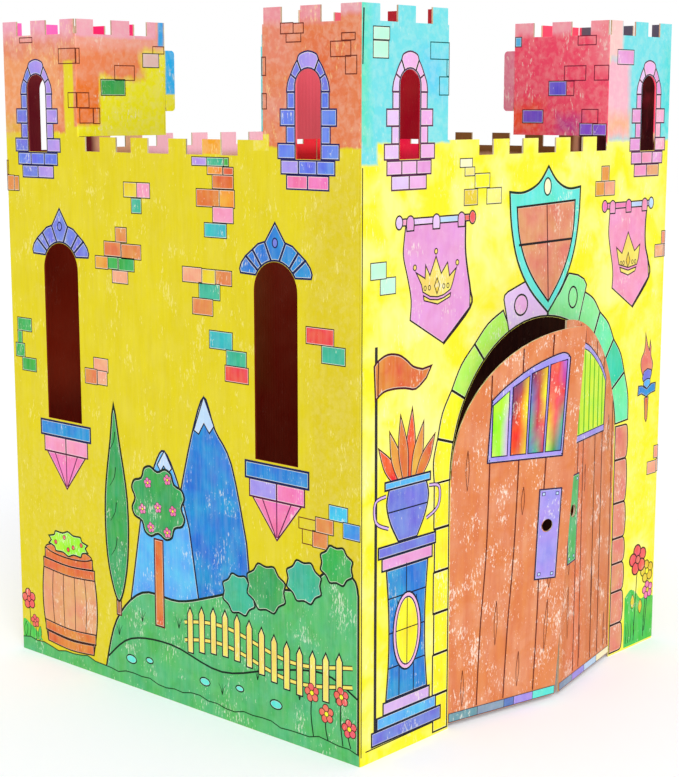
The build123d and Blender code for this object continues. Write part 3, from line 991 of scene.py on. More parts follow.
class CASTLE_OT_print_tower_windows(bpy.types.Operator):
    """Print the stone surrounds of the tower windows"""
    bl_idname = "castle.print_tower_windows"
    bl_label = "Print the Tower Windows"

    def execute(self, context):
        navy, plum = "20205C", "5A2A50"
        # keystone, ring and jambs on each side, row of three, row of two, pen
        violet = ("iris", "periwinkle", "periwinkle", "bluebell", "bluebell", ("iris", "bluebell", "bluebell"),
                  ("hot pink", "hot pink"), navy)
        sea = ("iris", "periwinkle", "lavender", "periwinkle", "lavender", ("bluebell", "bluebell", "bluebell"),
               ("periwinkle", "lavender"), navy)
        rosy = ("blossom", "shell", "blossom", "shell", "blossom", ("blossom", "blossom", "rose"),
                ("shell", "blossom"), plum)
        dusky = ("blossom", "shell", "rose", "rose", "sugar", ("rose", "pink", "rose"), ("pink", "apricot"), plum)
        middle = TOWER / 2
        towers = (
            ("tower_window_near_left", LEFT, LEFT_TOWER_WINDOWS[1], 24.0, violet),
            ("tower_window_far_left", LEFT, LEFT_TOWER_WINDOWS[0], 24.0, sea),
            ("tower_window_near_right", FRONT, FRONT_TOWER_WINDOWS[0], 22.5, rosy),
            ("tower_window_far_right", FRONT, FRONT_TOWER_WINDOWS[1], 22.5, dusky),
            ("tower_window_right_front", RIGHT, middle, 24.0, violet),
            ("tower_window_right_back", RIGHT, WIDTH - middle, 24.0, sea),
            ("tower_window_back_right", BACK, middle, 24.0, violet),
            ("tower_window_back_left", BACK, WIDTH - middle, 24.0, sea),
        )
        for name, wall, centre, radius, crayons in towers:
            self.surround(centre, radius, crayons).press(name, wall)
        return {"FINISHED"}

    def surround(self, c, radius, crayons):
        """The stones round one window, drawn from its middle line."""
        key, ring_left, ring_right, jamb_left, jamb_right, three, two, pen = crayons
        stones = Drawing()
        spring, clear, wide = TOWER_WINDOW_TOP - radius, radius + 0.5, radius / 24
        drawn = []

        def stone(points, crayon):
            stones.cell([(c + x, z) for x, z in points], crayon, line=2.3, pen=pen, layer=0.5 * (len(drawn) % 3))
            drawn.append(crayon)

        def outer(points, s=1):
            return curve([(s * wide * x, z) for x, z in points], 3)

        def inner(start, end, s=1):
            return [Vector((s * p.x, p.y)) for p in arc(0, spring, clear, clear, start, end, 4)]

        for s, ring, jamb in ((-1, ring_left, jamb_left), (1, ring_right, jamb_right)):
            stone(ring_stone(outer([(21, 1031), (28, 1022), (34.5, 1010.5)], s), inner(58.5, 23.5, s)), ring)
            stone(ring_stone(outer([(34.5, 1010.5), (40.5, 999), (43, 985)], s),
                             inner(23.5, 0, s) + [Vector((s * clear, 985))]), ring)
            for low, high, reach in ((961, 985, 42), (937, 961, 56), (912, 937, 44), (890, 912, 61)):
                stone([(s * p.x, p.y) for p in block(clear, low - OVERLAP, wide * reach - clear,
                                                     high - low + 2 * OVERLAP)], jamb)
        stone(ring_stone(outer([(21.5, 1030.5), (17, 1038.5), (0, 1043), (-17, 1038.5), (-21.5, 1030.5)]),
                         inner(58.5, 121.5)), key)
        for low, high, crayon in ((-54, -19, three[0]), (17, 52, three[2]), (-19, 17, three[1])):
            stone(block(wide * low - OVERLAP, 867.1, wide * (high - low) + 2 * OVERLAP, 22.2), crayon)
        for low, high, crayon in ((-43, -1, two[0]), (-1, 40.5, two[1])):
            stone(block(wide * low - OVERLAP, 845.6, wide * (high - low) + 2 * OVERLAP, 22.4), crayon)
        return stones


class CASTLE_OT_print_tall_windows(bpy.types.Operator):
    """Print the hoods and sills of the two tall windows"""
    bl_idname = "castle.print_tall_windows"
    bl_label = "Print the Tall Windows"

    def execute(self, context):
        for name, c, stone, row in (("tall_window_far", TALL_WINDOWS[0], "periwinkle", ("pink", "pink")),
                                    ("tall_window_near", TALL_WINDOWS[1], "azure", ("iris", "hot pink"))):
            self.hood(c, stone).press(name + "_hood", LEFT)
            self.sill(c, row).press(name + "_sill", LEFT)
        return {"FINISHED"}

    def hood(self, c, stone):
        """Seven stones over the opening, the middle one pointed."""
        navy, top, reach = "101C50", TALL_WINDOW_TOP, TALL_WINDOW_RADIUS + OPENING_CLEARANCE
        hood = Drawing()

        def cell(outer, start, end, s, layer):
            points = ring_stone([(x, top + y) for x, y in outer],
                                arc(0, top - TALL_WINDOW_RADIUS, reach, reach, start, end, 3))
            hood.cell([(c + s * p.x, p.y) for p in points], stone, line=2.9, pen=navy, layer=layer)

        for s in (-1, 1):
            cell(((22, 30), (36, 26), (48, 17)), 80, 52, s, 0)
            cell(((48, 17), (62.5, 6.5)), 52, 40, s, 0.5)
            cell(((62.5, 6.5), (72, -4), (76, -14), (74, -21)), 40, 30, s, 0)
        cell(((-22, 29), (0, 60), (22, 29)), 100, 80, 1, 1)
        hood.cell(oval(c, top + 28, 6.4, 8, 18), "periwinkle", line=2.0, pen=navy, layer=1.5, gap=0)
        return hood

    def sill(self, c, row):
        """A slab, two stones and a pointed pendant under the opening."""
        navy, wine = "101C50", "5A1040"
        sill = Drawing()
        sill.cell([(c - 54, 378), (c, 314), (c + 54, 378)], "hot pink", line=2.6, pen=wine)
        for x in (-31, 0, 31):
            sill.stroke([(c + x, 378), (c + 0.06 * x, 320)], 2.0, wine, layer=0.5)
        sill.cell(block(c - 59, 376, 60, 30), row[0], line=2.6, pen=wine, layer=1)
        sill.cell(block(c - 1, 376, 60, 30), row[1], line=2.6, pen=wine, layer=1.5)
        sill.cell(block(c - 68, 404, 136, 29), "azure", line=3.4, pen=navy, layer=2)
        return sill


class CASTLE_OT_print_shield(bpy.types.Operator):
    """Print the plain shield over the doorway"""
    bl_idname = "castle.print_shield"
    bl_label = "Print the Shield"

    def execute(self, context):
        pen = "10301C"
        shield = Drawing()
        top_left = curve([(346, 836), (385, 834), (424, 847), (451, 874)], 5)
        top_right = curve([(451, 874), (476, 849), (508, 836), (544, 838)], 5)
        right = curve([(544, 838), (541, 785), (528, 728), (500, 678), (457, 634)], 4)
        left = curve([(457, 634), (405, 676), (370, 724), (352, 780), (346, 836)], 4)
        shield.cell(top_left[:-1] + top_right[:-1] + right[:-1] + left[:-1], "aqua", line=3.8, pen=pen, layer=3,
                    gap=0.6)
        inside = (curve([(529, 816), (526, 768), (512, 724), (490, 688), (457, 652)], 4)[:-1]
                  + curve([(457, 652), (416, 690), (388, 728), (372, 768), (366, 811)], 4))
        shield.cell(inside, "E2926C", line=3.4, pen="201008", layer=4, gap=0.6)
        shield.stroke([(448, 812), (453, 730), (457, 656)], 2.4, PLANK_PEN, layer=5)
        shield.stroke([(374, 750), (450, 751), (520, 752)], 3.8, PEN, layer=5.5)
        shield.cell(oval(449, 839, 11, 15), "cream", line=2.6, pen=pen, layer=4)
        shield.press("shield", FRONT)
        return {"FINISHED"}


class CASTLE_OT_print_banners(bpy.types.Operator):
    """Print the two hanging banners with their rods"""
    bl_idname = "castle.print_banners"
    bl_label = "Print the Banners"

    def execute(self, context):
        pen = "2A0C20"
        left = Drawing()
        self.banner(left, pen, "shell", "coral", "rose",
                    right=((238, 797), (238, 754), (244, 720), (251, 690), (251, 663)), tip=(186, 614),
                    left=((107, 656), (109, 686), (101, 718), (91, 750), (92, 772), (96, 797)),
                    rod=(82, 107, 167, 227, 254), segments=("sugar", "shell", "ice", "coral"))
        self.crown(left, pen,
                   outline=((118, 728), (141, 717), (142, 738), (153, 721), (167, 749), (180, 722), (195, 738),
                            (200, 717), (218, 729), (208, 703), (203, 694), (186, 687), (172, 685), (154, 687),
                            (136, 695), (133, 706)),
                   band=((137, 692), (154, 684.5), (172, 682.5), (186, 684.5), (204, 691), (202, 683), (172, 674),
                         (139, 682)),
                   diamond=((170, 716), (177, 703), (170, 689), (163, 703)),
                   tips=((118, 733), (167, 754), (218, 734)), rings=(142, 152, 186, 196))
        left.press("banner_left", FRONT)

        right = Drawing()
        self.banner(right, pen, "hot pink", "ice", "pink",
                    right=((750, 797), (746, 761), (748, 727), (758, 701), (762, 671)), tip=(710, 622),
                    left=((644, 660), (645, 690), (635, 728), (629, 757), (632, 797)),
                    rod=(616, 640, 690, 741, 762), segments=("hot pink", "hot pink", "ice", "shell"))
        self.crown(right, pen,
                   outline=((654, 731), (673, 719), (691, 755), (713, 721), (731, 732), (727, 706), (722, 695),
                            (694, 691), (664, 698)),
                   band=((666, 695.5), (694, 688.5), (721, 692.5), (717, 684), (694, 678), (670, 685.5)),
                   diamond=((693, 720), (700, 704), (693, 691), (686, 704)), tips=(), rings=(671, 679, 707, 716))
        right.press("banner_right", FRONT)
        return {"FINISHED"}

    def banner(self, b, pen, knob_left, knob_right, cloth, right, tip, left, rod, segments):
        """A hanging cloth with a heavier line on its right, and a rod through three loops."""
        body = curve(right, 4) + [tip] + curve(left, 4)
        b.cell(body, cloth, line=2.4, pen=pen, gap=0.6)
        b.stroke(curve([*right, tip], 4), 4.4, pen, layer=0.5, taper=(0.5, 1.1))
        start, *loops, end = rod
        for low, high, crayon in zip((start, *loops), (*loops, end), segments):
            b.cell(block(low, 794, high - low, 12), crayon, line=2.2, pen=pen, layer=1, gap=0.4)
        for x, crayon in zip(loops, (cloth, knob_left, cloth)):
            loop = curve([(x + 9, 786), (x + 9, 804), (x, 810), (x - 9, 804), (x - 9, 786)], 3)
            b.cell(loop, crayon, line=2.2, pen=pen, layer=2, gap=0.4)
        for x, crayon in ((start, knob_left), (end, knob_right)):
            b.cell(oval(x, 800, 9, 11, 16), crayon, line=2.2, pen=pen, layer=2.5, gap=0.4)

    def crown(self, b, pen, outline, band, diamond, tips, rings):
        """A crown with a band, a diamond in the middle, round tips and small rings."""
        b.cell(outline, "straw", line=2.0, pen=pen, layer=1, gap=0)
        b.cell(band, "straw", line=2.0, pen=pen, layer=1.5, gap=0)
        b.cell(diamond, "gold", line=1.5, pen=pen, layer=2, gap=0)
        for x in rings:
            b.hollow(oval(x, 701, 3.4, 4.2, 10), 1.3, pen, 2)
        for x, z in tips:
            b.cell(oval(x, z, 4.6, 5.0, 12), "straw", line=1.7, pen=pen, layer=2, gap=0)


class CASTLE_OT_print_torch_and_pennant(bpy.types.Operator):
    """Print the wall torch and the pennant on its pole"""
    bl_idname = "castle.print_torch_and_pennant"
    bl_label = "Print the Torch and Pennant"

    def execute(self, context):
        navy, wine = "0E2048", "4A1420"
        torch = Drawing()
        flame = curve([(752, 496), (745, 512), (746, 527), (755, 540), (758, 556)], 3) + [(758, 575)]
        flame += curve([(764, 559), (767, 550), (772, 542)], 3) + [(774, 560)]
        flame += curve([(779, 545), (779, 530), (786, 514), (782, 498)], 3)
        torch.cell(flame, "salmon", line=1.9, pen=wine, gap=0.4)
        torch.cell([(751, 492), (756, 504), (768, 508), (781, 505), (783, 498), (779, 488), (766, 482), (754, 485)],
                   "periwinkle", line=2.2, pen=navy, layer=1, gap=0.5)
        torch.cell([(755, 478), (757, 487), (767, 490), (778, 489), (779, 478), (768, 470)], "sky", line=2.0,
                   pen=navy, layer=2, gap=0.5)
        torch.cell([(737, 461), (739, 480), (752, 479), (767, 472), (782, 480), (797, 480), (796, 463), (780, 461),
                    (766, 456), (750, 463)], "azure", line=2.2, pen=navy, layer=3, gap=0.5)
        torch.cell([(759, 456), (774, 457), (772, 417), (768, 410), (763, 417)], "tangerine", line=2.0, pen=wine,
                   layer=2, gap=0.5)
        torch.press("torch", FRONT)

        pennant = Drawing()
        pennant.stroke([(33, 625), (33.5, 420), (33, 220), (33, 22)], 6.0, "2A2A2C", layer=0)
        flag = curve([(27, 598), (37, 606), (58, 613), (83, 610), (102, 600), (117, 589), (138, 583)], 3)
        flag += [(162, 586)] + curve([(148, 566), (123, 552), (98, 556), (73, 558), (49, 556), (30, 545)], 3)
        pennant.cell(flag, "tangerine", line=3.2, pen=wine, layer=1, gap=0.8)
        pennant.stroke([(38, 603), (37, 575), (37, 550)], 2.2, wine, layer=2)
        pennant.press("pennant", FRONT)
        return {"FINISHED"}


class CASTLE_OT_print_arch_stones(bpy.types.Operator):
    """Print the ring of stones round the doorway"""
    bl_idname = "castle.print_arch_stones"
    bl_label = "Print the Arch Stones"

    def execute(self, context):
        pen = "141008"
        ring = Drawing()
        reach = DOOR_RADIUS + OPENING_CLEARANCE

        def along(start, end):
            return arc(DOOR_CENTRE, DOOR_SPRING, reach, reach, start, end, 5)

        # each stone of the curve: its angles along the opening, then its outer corners
        stones = (
            (180, 165.5, (167, 401), (174, 470), "yellow"),
            (165.5, 148, (174, 470), (207, 541), "yellow"),
            (148, 130, (207, 541), (263, 606), "lime"),
            (130, 110.5, (263, 606), (336, 652), "lime"),
            (63, 49, (564, 662), (611, 624), "sapling"),
            (49, 35, (611, 624), (656, 573), "mint"),
            (35, 21, (656, 573), (693, 511), "jade"),
            (21, 5, (693, 511), (709, 424), "mint"),
        )
        for i, (start, end, low, high, crayon) in enumerate(stones):
            middle = Vector(low).lerp(Vector(high), 0.5)
            bulge = (middle - Vector((DOOR_CENTRE, DOOR_SPRING))).normalized() * 6
            outer = curve([low, middle + bulge, high], 4)
            ring.cell(ring_stone(outer, along(start, end), ARCH_OVERLAP), crayon, line=2.8, pen=pen,
                      layer=0.5 * (i % 2))
        # the two stones beside the shield's tip, each with an oval; the shield covers their inner ends
        ring.cell([(457, 642), (430, 668), (400, 694), (391, 692), (347, 680), (338, 675), (336, 667)]
                  + along(112, 85), "shell", line=2.8, pen=pen, layer=1)
        ring.cell([(457, 642), (490, 668), (514, 697), (521, 696), (542, 692), (560, 684), (569, 673)]
                  + along(62, 85), "sapling", line=2.8, pen=pen, layer=1.5)
        ring.cell(oval(383, 655, 19, 18), "blossom", line=3.0, pen=pen, layer=2, gap=0.4)
        ring.cell(oval(528, 655, 14, 19), "sapling", line=3.0, pen=pen, layer=2, gap=0.4)
        # jambs
        left = ((402, 330), (330, 262), (262, 196), (196, 130), (130, 64), (64, 4))
        for i, (top, foot) in enumerate(left):
            ring.cell(block(167 + i % 2 * 2, foot - ARCH_OVERLAP, 39.5 - i % 2 * 2, top - foot + 2 * ARCH_OVERLAP),
                      "yellow", line=2.8, pen=pen, layer=0.5 * (i % 2))
        right = ((417, 356), (356, 278), (278, 214), (214, 168), (168, 116), (116, 56), (56, 4))
        for i, (top, foot) in enumerate(right):
            low, high = foot - ARCH_OVERLAP, top + ARCH_OVERLAP
            corner = curve([(701, low), (708, low + 5), (711, (low + high) / 2), (708, high - 5), (701, high)], 3)
            ring.cell([(667.5, low)] + corner + [(667.5, high)], "clay", line=2.8, pen="3A1410", layer=0.5 * (i % 2))
        ring.press("arch_stones", FRONT)
        return {"FINISHED"}


class CASTLE_OT_print_door(bpy.types.Operator):
    """Print the planks, windows and plates of the two door leaves"""
    bl_idname = "castle.print_door"
    bl_label = "Print the Door Leaves"

    def execute(self, context):
        hole_u, hole_z = FINGER_HOLE
        left = Drawing()
        left.step = LEAF_LEVEL_STEP
        self.planks(left, ((69, 58), (122, 114), (173, 178)), 1)
        self.left_window(left)
        self.plate(left, [(165, 217), (209, 215), (208, 368), (164, 369)], "iris", (hole_u, hole_z))
        for x0, x1, crayon in ((1, 60, "6C9CA8"), (60, 116, "grey blue"), (116, 137, "steel"), (137, 178, "iris"),
                               (178, 226, "aqua")):
            left.cell(block(x0, LEAF_FOOT + 1, x1 - x0 + 1, 15), crayon, line=1.0, pen="2A3A50", gap=0,
                      layer=0.4 * (x0 % 2))
        left.divide(230, 19, 0)
        left.divide(640, 20, 1)
        left.press("door_left_print", LEFT_LEAF)

        right = Drawing()
        self.planks(right, ((-12, -10), (-59, -58), (-92, -91), (-145, -144), (-168, -168)), -1)
        self.right_window(right)
        self.plate(right, [(-204, 218), (-168, 220), (-160, 368), (-205, 368)], "meadow", (-hole_u, hole_z))
        for x0, x1, crayon in ((-226, -170, "grey blue"), (-170, -116, "iris"), (-116, -60, "ice"),
                               (-60, -2, "cream")):
            right.cell(block(x0, LEAF_FOOT + 1, x1 - x0, 13), crayon, line=0.9, pen="6A6070", gap=0)
        right.press("door_right_print", RIGHT_LEAF)
        return {"FINISHED"}

    def leaf_top(self, u):
        """Height of the leaf's arched top at a distance from its crease."""
        away = DOOR_RADIUS - abs(u)
        return DOOR_SPRING + math.sqrt(max(LEAF_ARCH ** 2 - away ** 2, 0))

    def planks(self, drawing, lines, side):
        """The joints between the planks, from their tops to their feet, and the long knots in the wood."""
        for top, foot in lines:
            path = curve([(foot, 26), (foot + 0.3 * (top - foot), 150), (top, 300), (top, self.leaf_top(top) - 4)], 8)
            drawing.stroke(path, 1.9, PLANK_PEN, layer=0)
        for u, z, length in ((30, 380, 64), (92, 120, 74), (142, 40, 60), (196, 90, 90), (28, 30, 60), (134, 330, 46),
                             (196, 200, 34)):
            for lean in (-3, 3):
                knot = curve([(side * u, z), (side * u + lean, z + length * 0.5), (side * u, z + length)], 5)
                drawing.stroke(knot, 1.4, PLANK_PEN, layer=0.5, taper=(0.4, 0.6))

    def left_window(self, drawing):
        """Four streaked panes under a rising frame."""
        navy = "181848"
        rise = curve([(69, 519), (94, 541), (137, 569), (181, 587), (197, 588), (205, 580)], 3)
        drawing.cell([(64, 420)] + rise + [(204, 420)], "iris", line=2.3, pen=navy, layer=1, gap=0.4)
        roof_points = ((73, 512), (99, 533), (138, 558), (182, 575), (199, 577))

        def roof(u):
            for (u0, z0), (u1, z1) in zip(roof_points, roof_points[1:]):
                if u <= u1:
                    return z0 + (z1 - z0) * (u - u0) / (u1 - u0)
            return z1

        panes = (
            (73, 99, (("lime", "bright lime", "lilac"), ("bright lime", "bright lime", "lilac"),
                      ("bright lime", "bright lime", "lime"))),
            (107, 133, (("vermilion", "rust", "gold"), ("vermilion", "vermilion", "gold"),
                        ("plum", "vermilion", "yellow"), ("plum", "plum", "gold"))),
            (139, 165, (("steel", "teal", "crimson"), ("teal", "crimson", "coral"), ("steel", "crimson", "yellow"),
                        ("plum", "brown", "gold"))),
            (171, 198, (("lime", "leaf", "steel"), ("gold", "coral", "teal"), ("red", "coral", "red"),
                        ("coral", "red", "violet"))),
        )
        for u0, u1, rows in panes:
            drawing.cell([(u0 - 2, 429), (u1 + 2, 429), (u1 + 2, roof(u1) + 1), (u0 - 2, roof(u0))], "white",
                         line=2.0, pen=navy, layer=2, gap=0)
            columns = (u0 - 0.2, (u0 + u1) / 2, u1 + 0.2)
            drawing.wash(columns, 430.8, [roof(u) - 1.4 for u in columns],
                         [(i / (len(rows) - 1), row) for i, row in enumerate(rows)], layer=3)
        for x, z in ((68.5, 424.5), (201.5, 424), (201, 582), (71, 516)):
            drawing.cell(oval(x, z, 1.2, 1.2, 8), PEN, line=0, gap=0, layer=2, wax=0)

    def right_window(self, drawing):
        """One green pane with upright bars, in a band that shows above and below it."""
        navy = "181848"
        top = curve([(-48, 512), (-74, 542), (-123, 574), (-160, 586), (-204, 590)], 3)
        drawing.cell([(-53, 419)] + top + [(-204, 419)], "iris", line=2.3, pen=navy, layer=1, gap=0.4)
        glass = curve([(-51, 506), (-76, 533), (-123, 564), (-160, 576), (-202, 580)], 3)
        drawing.cell([(-55, 430)] + glass + [(-202, 430)], "citron", line=1.8, pen=navy, layer=2, gap=0)
        for u, high in ((-66, 520), (-84, 536), (-104, 549), (-124, 561), (-146, 569), (-168, 574), (-188, 576)):
            drawing.stroke([(u, 433), (u - 0.5, 490), (u, high)], 5.0, "60BC10", layer=3, taper=(1.0, 0.8))

    def plate(self, drawing, outline, crayon, hole):
        """A screwed plate that the finger hole goes through."""
        navy = "202050"
        face = drawing.cell(outline, crayon, line=2.4, pen=navy, layer=1, gap=0.5)
        drawing.pierce(face, *hole, HOLE_RADIUS, crayon)
        middle = sum(x for x, _ in outline) / 4
        for x, z in outline:
            side, rise = (1 if x > middle else -1), (1 if z > hole[1] else -1)
            drawing.cell(block(x - side * 9 - 3, z - rise * 9 - 3, 6, 6), "ice", line=1.0, pen=navy, layer=2, gap=0)


class CASTLE_OT_print_garden(bpy.types.Operator):
    """Print the garden along the foot of the left wall"""
    bl_idname = "castle.print_garden"
    bl_label = "Print the Garden"

    def execute(self, context):
        garden = Drawing()
        pen, slate = "0C2414", "0C1C40"
        # far mountains with snow on them
        peaks = (((392, 150), (420, 330), (455, 452), (486, 520), (512, 470), (548, 420), (580, 300), (596, 150)),
                 ((300, 150), (330, 300), (366, 392), (392, 420), (424, 372), (450, 300), (476, 150)))
        for i, points in enumerate(peaks):
            garden.cell(curve(points[1:-1], 4) + [points[-1], points[0]], ("azure", "sky")[i], line=3.4, pen=slate,
                        layer=0.5 * i, gap=0.8)
        garden.cell([(461, 462), (486, 521), (510, 474), (498, 460), (486, 474), (474, 456)], "ice", line=2.3,
                    pen=slate, layer=1, gap=0.5)
        garden.cell([(373, 394), (392, 421), (411, 392), (400, 382), (390, 392), (382, 382)], "ice", line=2.3,
                    pen=slate, layer=1, gap=0.5)
        # rolling hill
        hill = curve([(230, 14), (262, 110), (330, 172), (420, 176), (500, 200), (600, 236), (690, 250), (752, 292),
                      (800, 288), (811, 262)], 5)
        garden.cell(hill + [(811, 14)], "meadow", line=garden.bold, pen=pen, layer=1.5, gap=0.8)
        lower = curve([(240, 40), (300, 84), (400, 96), (520, 78), (640, 110), (740, 128), (808, 104)], 5)
        garden.stroke(lower, 3.2, pen, layer=2)
        # slim cypress
        garden.cell(block(264, 118, 14, 40), "brown", line=2.6, pen=PLANK_PEN, layer=2)
        garden.cell(flowing([(262, 150), (242, 220), (240, 320), (256, 420), (268, 486), (282, 420), (300, 320),
                             (298, 220), (280, 150)], 4), "moss", line=garden.bold, pen=pen, layer=2.5, gap=0.8)
        for z in (220, 280, 340, 400):
            garden.stroke(curve([(254, z), (266, z + 16), (270, z + 34)], 4), 2.2, pen, layer=3, taper=(0.4, 1))
        # round tree with blossoms
        garden.cell(block(362, 120, 24, 150), "tangerine", line=3.0, pen=PLANK_PEN, layer=2.5)
        garden.cell(flowing(lobes(374, 330, 1, 0.92, 24, 68, 58, 3), 3), "moss", line=garden.bold, pen=pen, layer=3.5,
                    gap=0.8)
        for x, z in ((350, 360), (398, 372), (374, 322), (336, 314), (410, 322), (356, 286), (396, 284)):
            garden.flower(x, z, 9, "hot pink", "yellow", 4)
        # bush row on the right of the hill
        for i, (x, z, r) in enumerate(((560, 214, 40), (620, 236, 46), (700, 262, 40), (766, 300, 36))):
            garden.cell(flowing(lobes(x, z, 1, 0.9, 16, r, r * 0.86), 3), ("teal", "moss", "teal", "green")[i],
                        line=3.2, pen=pen, layer=4 + 0.4 * i, gap=0.8)
        # yellow picket fence, its rails behind the pickets
        for dz in (20, 50):
            rail = curve([(434 + i * 26, 92 + dz + 12 * math.sin(i * 0.5)) for i in range(15)], 3)
            garden.stroke(rail, 8.0, PEN, layer=5.4)
            garden.stroke(rail, 5.0, "straw", layer=5.7)
        for i in range(13):
            x, z = 440 + i * 27, 92 + 12 * math.sin(i * 0.5)
            garden.cell([(x, z), (x + 15, z), (x + 15, z + 66), (x + 7.5, z + 80), (x, z + 66)], "straw", line=2.2,
                        pen=PEN, layer=6, gap=0.5)
        # stones and tufts in the grass
        for x, z, r in ((300, 48, 14), (346, 56, 10), (480, 52, 13), (560, 60, 10), (640, 54, 14)):
            garden.cell(oval(x, z, r, r * 0.6, 14), "aqua", line=2.2, pen=pen, layer=2.5, gap=0.4)
        for x, z in ((270, 84), (330, 120), (420, 128), (520, 40), (600, 84), (690, 74)):
            for lean in (-8, 0, 8):
                garden.stroke([(x, z), (x + lean * 0.4, z + 10), (x + lean, z + 18)], 1.7, pen,
                              layer=2.5 + 0.03 * lean, taper=(1, 0.3))
        # pink flowers by the near corner
        for i, (x, z) in enumerate(((716, 92), (746, 66), (776, 100), (792, 54))):
            garden.stroke(curve([(x + 3, 24), (x - 2, 12 + z / 2), (x, z)], 4), 2.0, pen, layer=6.3)
            garden.flower(x, z, 15, "coral", "yellow", 6.5)
        garden.press("garden", LEFT)

        tub = Drawing()
        self.tub(tub)
        tub.press("planter_tub", LEFT)
        return {"FINISHED"}

    def tub(self, d):
        """A stave tub between two hoops, with a low plant in it."""
        pen = "3A1408"
        body = curve([(74, 30), (64, 80), (62, 122), (66, 162), (74, 200)], 4)
        body += curve([(202, 200), (210, 162), (214, 122), (212, 80), (202, 30)], 4)
        d.cell(body, "apricot", line=3.2, pen=pen, gap=0.6)
        for k in (-0.62, -0.22, 0.2, 0.6):
            d.stroke(curve([(138 + k * 64, 34), (138 + k * 76, 116), (138 + k * 64, 196)], 5), 1.6, pen, layer=0.5)
        for z, out in ((30, 64), (50, 70), (164, 71), (182, 66)):
            hoop = curve([(138 - out, z), (138, z - 5), (138 + out, z)], 5)
            hoop += curve([(138 + out, z + 20), (138, z + 15), (138 - out, z + 20)], 5)
            d.cell(hoop, "tangerine", line=2.4, pen=pen, layer=1 + 0.01 * (z % 3), gap=0.4)
        d.cell(oval(138, 203, 64, 12, 28), "tangerine", line=2.6, pen=pen, layer=1.6, gap=0.4)
        d.cell(flowing(lobes(138, 218, 1.05, 0.42, 20, 56, 46), 3), "bright lime", line=2.8, pen="0C3414", layer=2)
        for x, z in ((104, 216), (128, 228), (152, 214), (174, 222), (138, 208)):
            d.cell(oval(x, z, 4.4, 4.4, 10), "red", line=0.9, layer=2.5, gap=0)


class CASTLE_OT_print_pedestal(bpy.types.Operator):
    """Print the stone pedestal and its urn beside the doorway"""
    bl_idname = "castle.print_pedestal"
    bl_label = "Print the Pedestal"

    def execute(self, context):
        navy = "101838"
        d = Drawing()

        def cell(points, crayon, layer=2.0, line=3.0, pen=navy):
            d.cell(points, crayon, line=line, pen=pen, layer=layer, gap=0.7)

        cell(block(24, 22, 166, 24), "periwinkle", 2.0)
        cell(block(36, 44, 142, 22), "sky", 2.4)
        cell(block(50, 64, 112, 22), "lilac", 2.8)
        shaft = curve([(56, 85), (62, 150), (62, 220), (56, 290)], 4)
        shaft += curve([(156, 290), (150, 220), (150, 150), (156, 85)], 4)
        cell(shaft, "azure", 2.4)
        for z in (136, 190, 244):
            d.stroke([(63, z), (149, z)], 2.2, navy, layer=2.8)
        for u, z in ((88, 86), (122, 86), (106, 136), (84, 190), (128, 190), (104, 244)):
            d.stroke([(u, z), (u, z + 48)], 2.1, navy, layer=2.9)
        cell(oval(106, 186, 34, 62, 32), "blossom", 3.2)
        cell(oval(106, 186, 27, 54, 32), "yellow", 3.6, 2.2)
        d.stroke([(106, 134), (106, 238)], 1.7, PEN, layer=4.0)
        d.stroke([(81, 190), (131, 190)], 1.7, PEN, layer=4.2)
        cell(block(46, 288, 120, 22), "rose", 2.8)
        cell(block(38, 308, 136, 20), "periwinkle", 3.2)
        # the plant behind the urn's rim
        for i, lean in enumerate((-60, -38, -16, 8, 32, 56)):
            base, tip = Vector((106 + lean * 0.3, 410)), Vector((106 + lean * 1.15, 538 - abs(lean)))
            side = Vector((base.y - tip.y, tip.x - base.x)).normalized()
            middle = base.lerp(tip, 0.5)
            leaf = curve([base + side * 5, middle + side * 12, tip], 5)
            leaf += curve([tip, middle - side * 12, base - side * 5], 5)[1:]
            cell(leaf, ("vermilion", "amber", "tangerine")[i % 3], 0.6 + 0.4 * (i % 3) + 0.1 * (i // 3), 2.1,
                 "4A1410")
        for x in (-1, 1):
            handle = curve([(106 + x * 50, 402), (106 + x * 74, 396), (106 + x * 72, 366), (106 + x * 44, 352)], 4)
            d.stroke(handle, 6.4, navy, layer=2.0)
            d.stroke(handle, 3.2, "lilac", layer=2.3)
        urn = curve([(84, 327), (78, 336), (64, 360), (56, 388), (62, 412)], 4)
        urn += curve([(150, 412), (156, 388), (148, 360), (134, 336), (128, 327)], 4)
        cell(urn, "periwinkle", 2.8)
        cell(block(52, 409, 108, 15), "sky", 3.2)
        d.stroke([(61, 376), (151, 376)], 2.2, navy, layer=3.2)
        d.press("pedestal", FRONT)
        return {"FINISHED"}


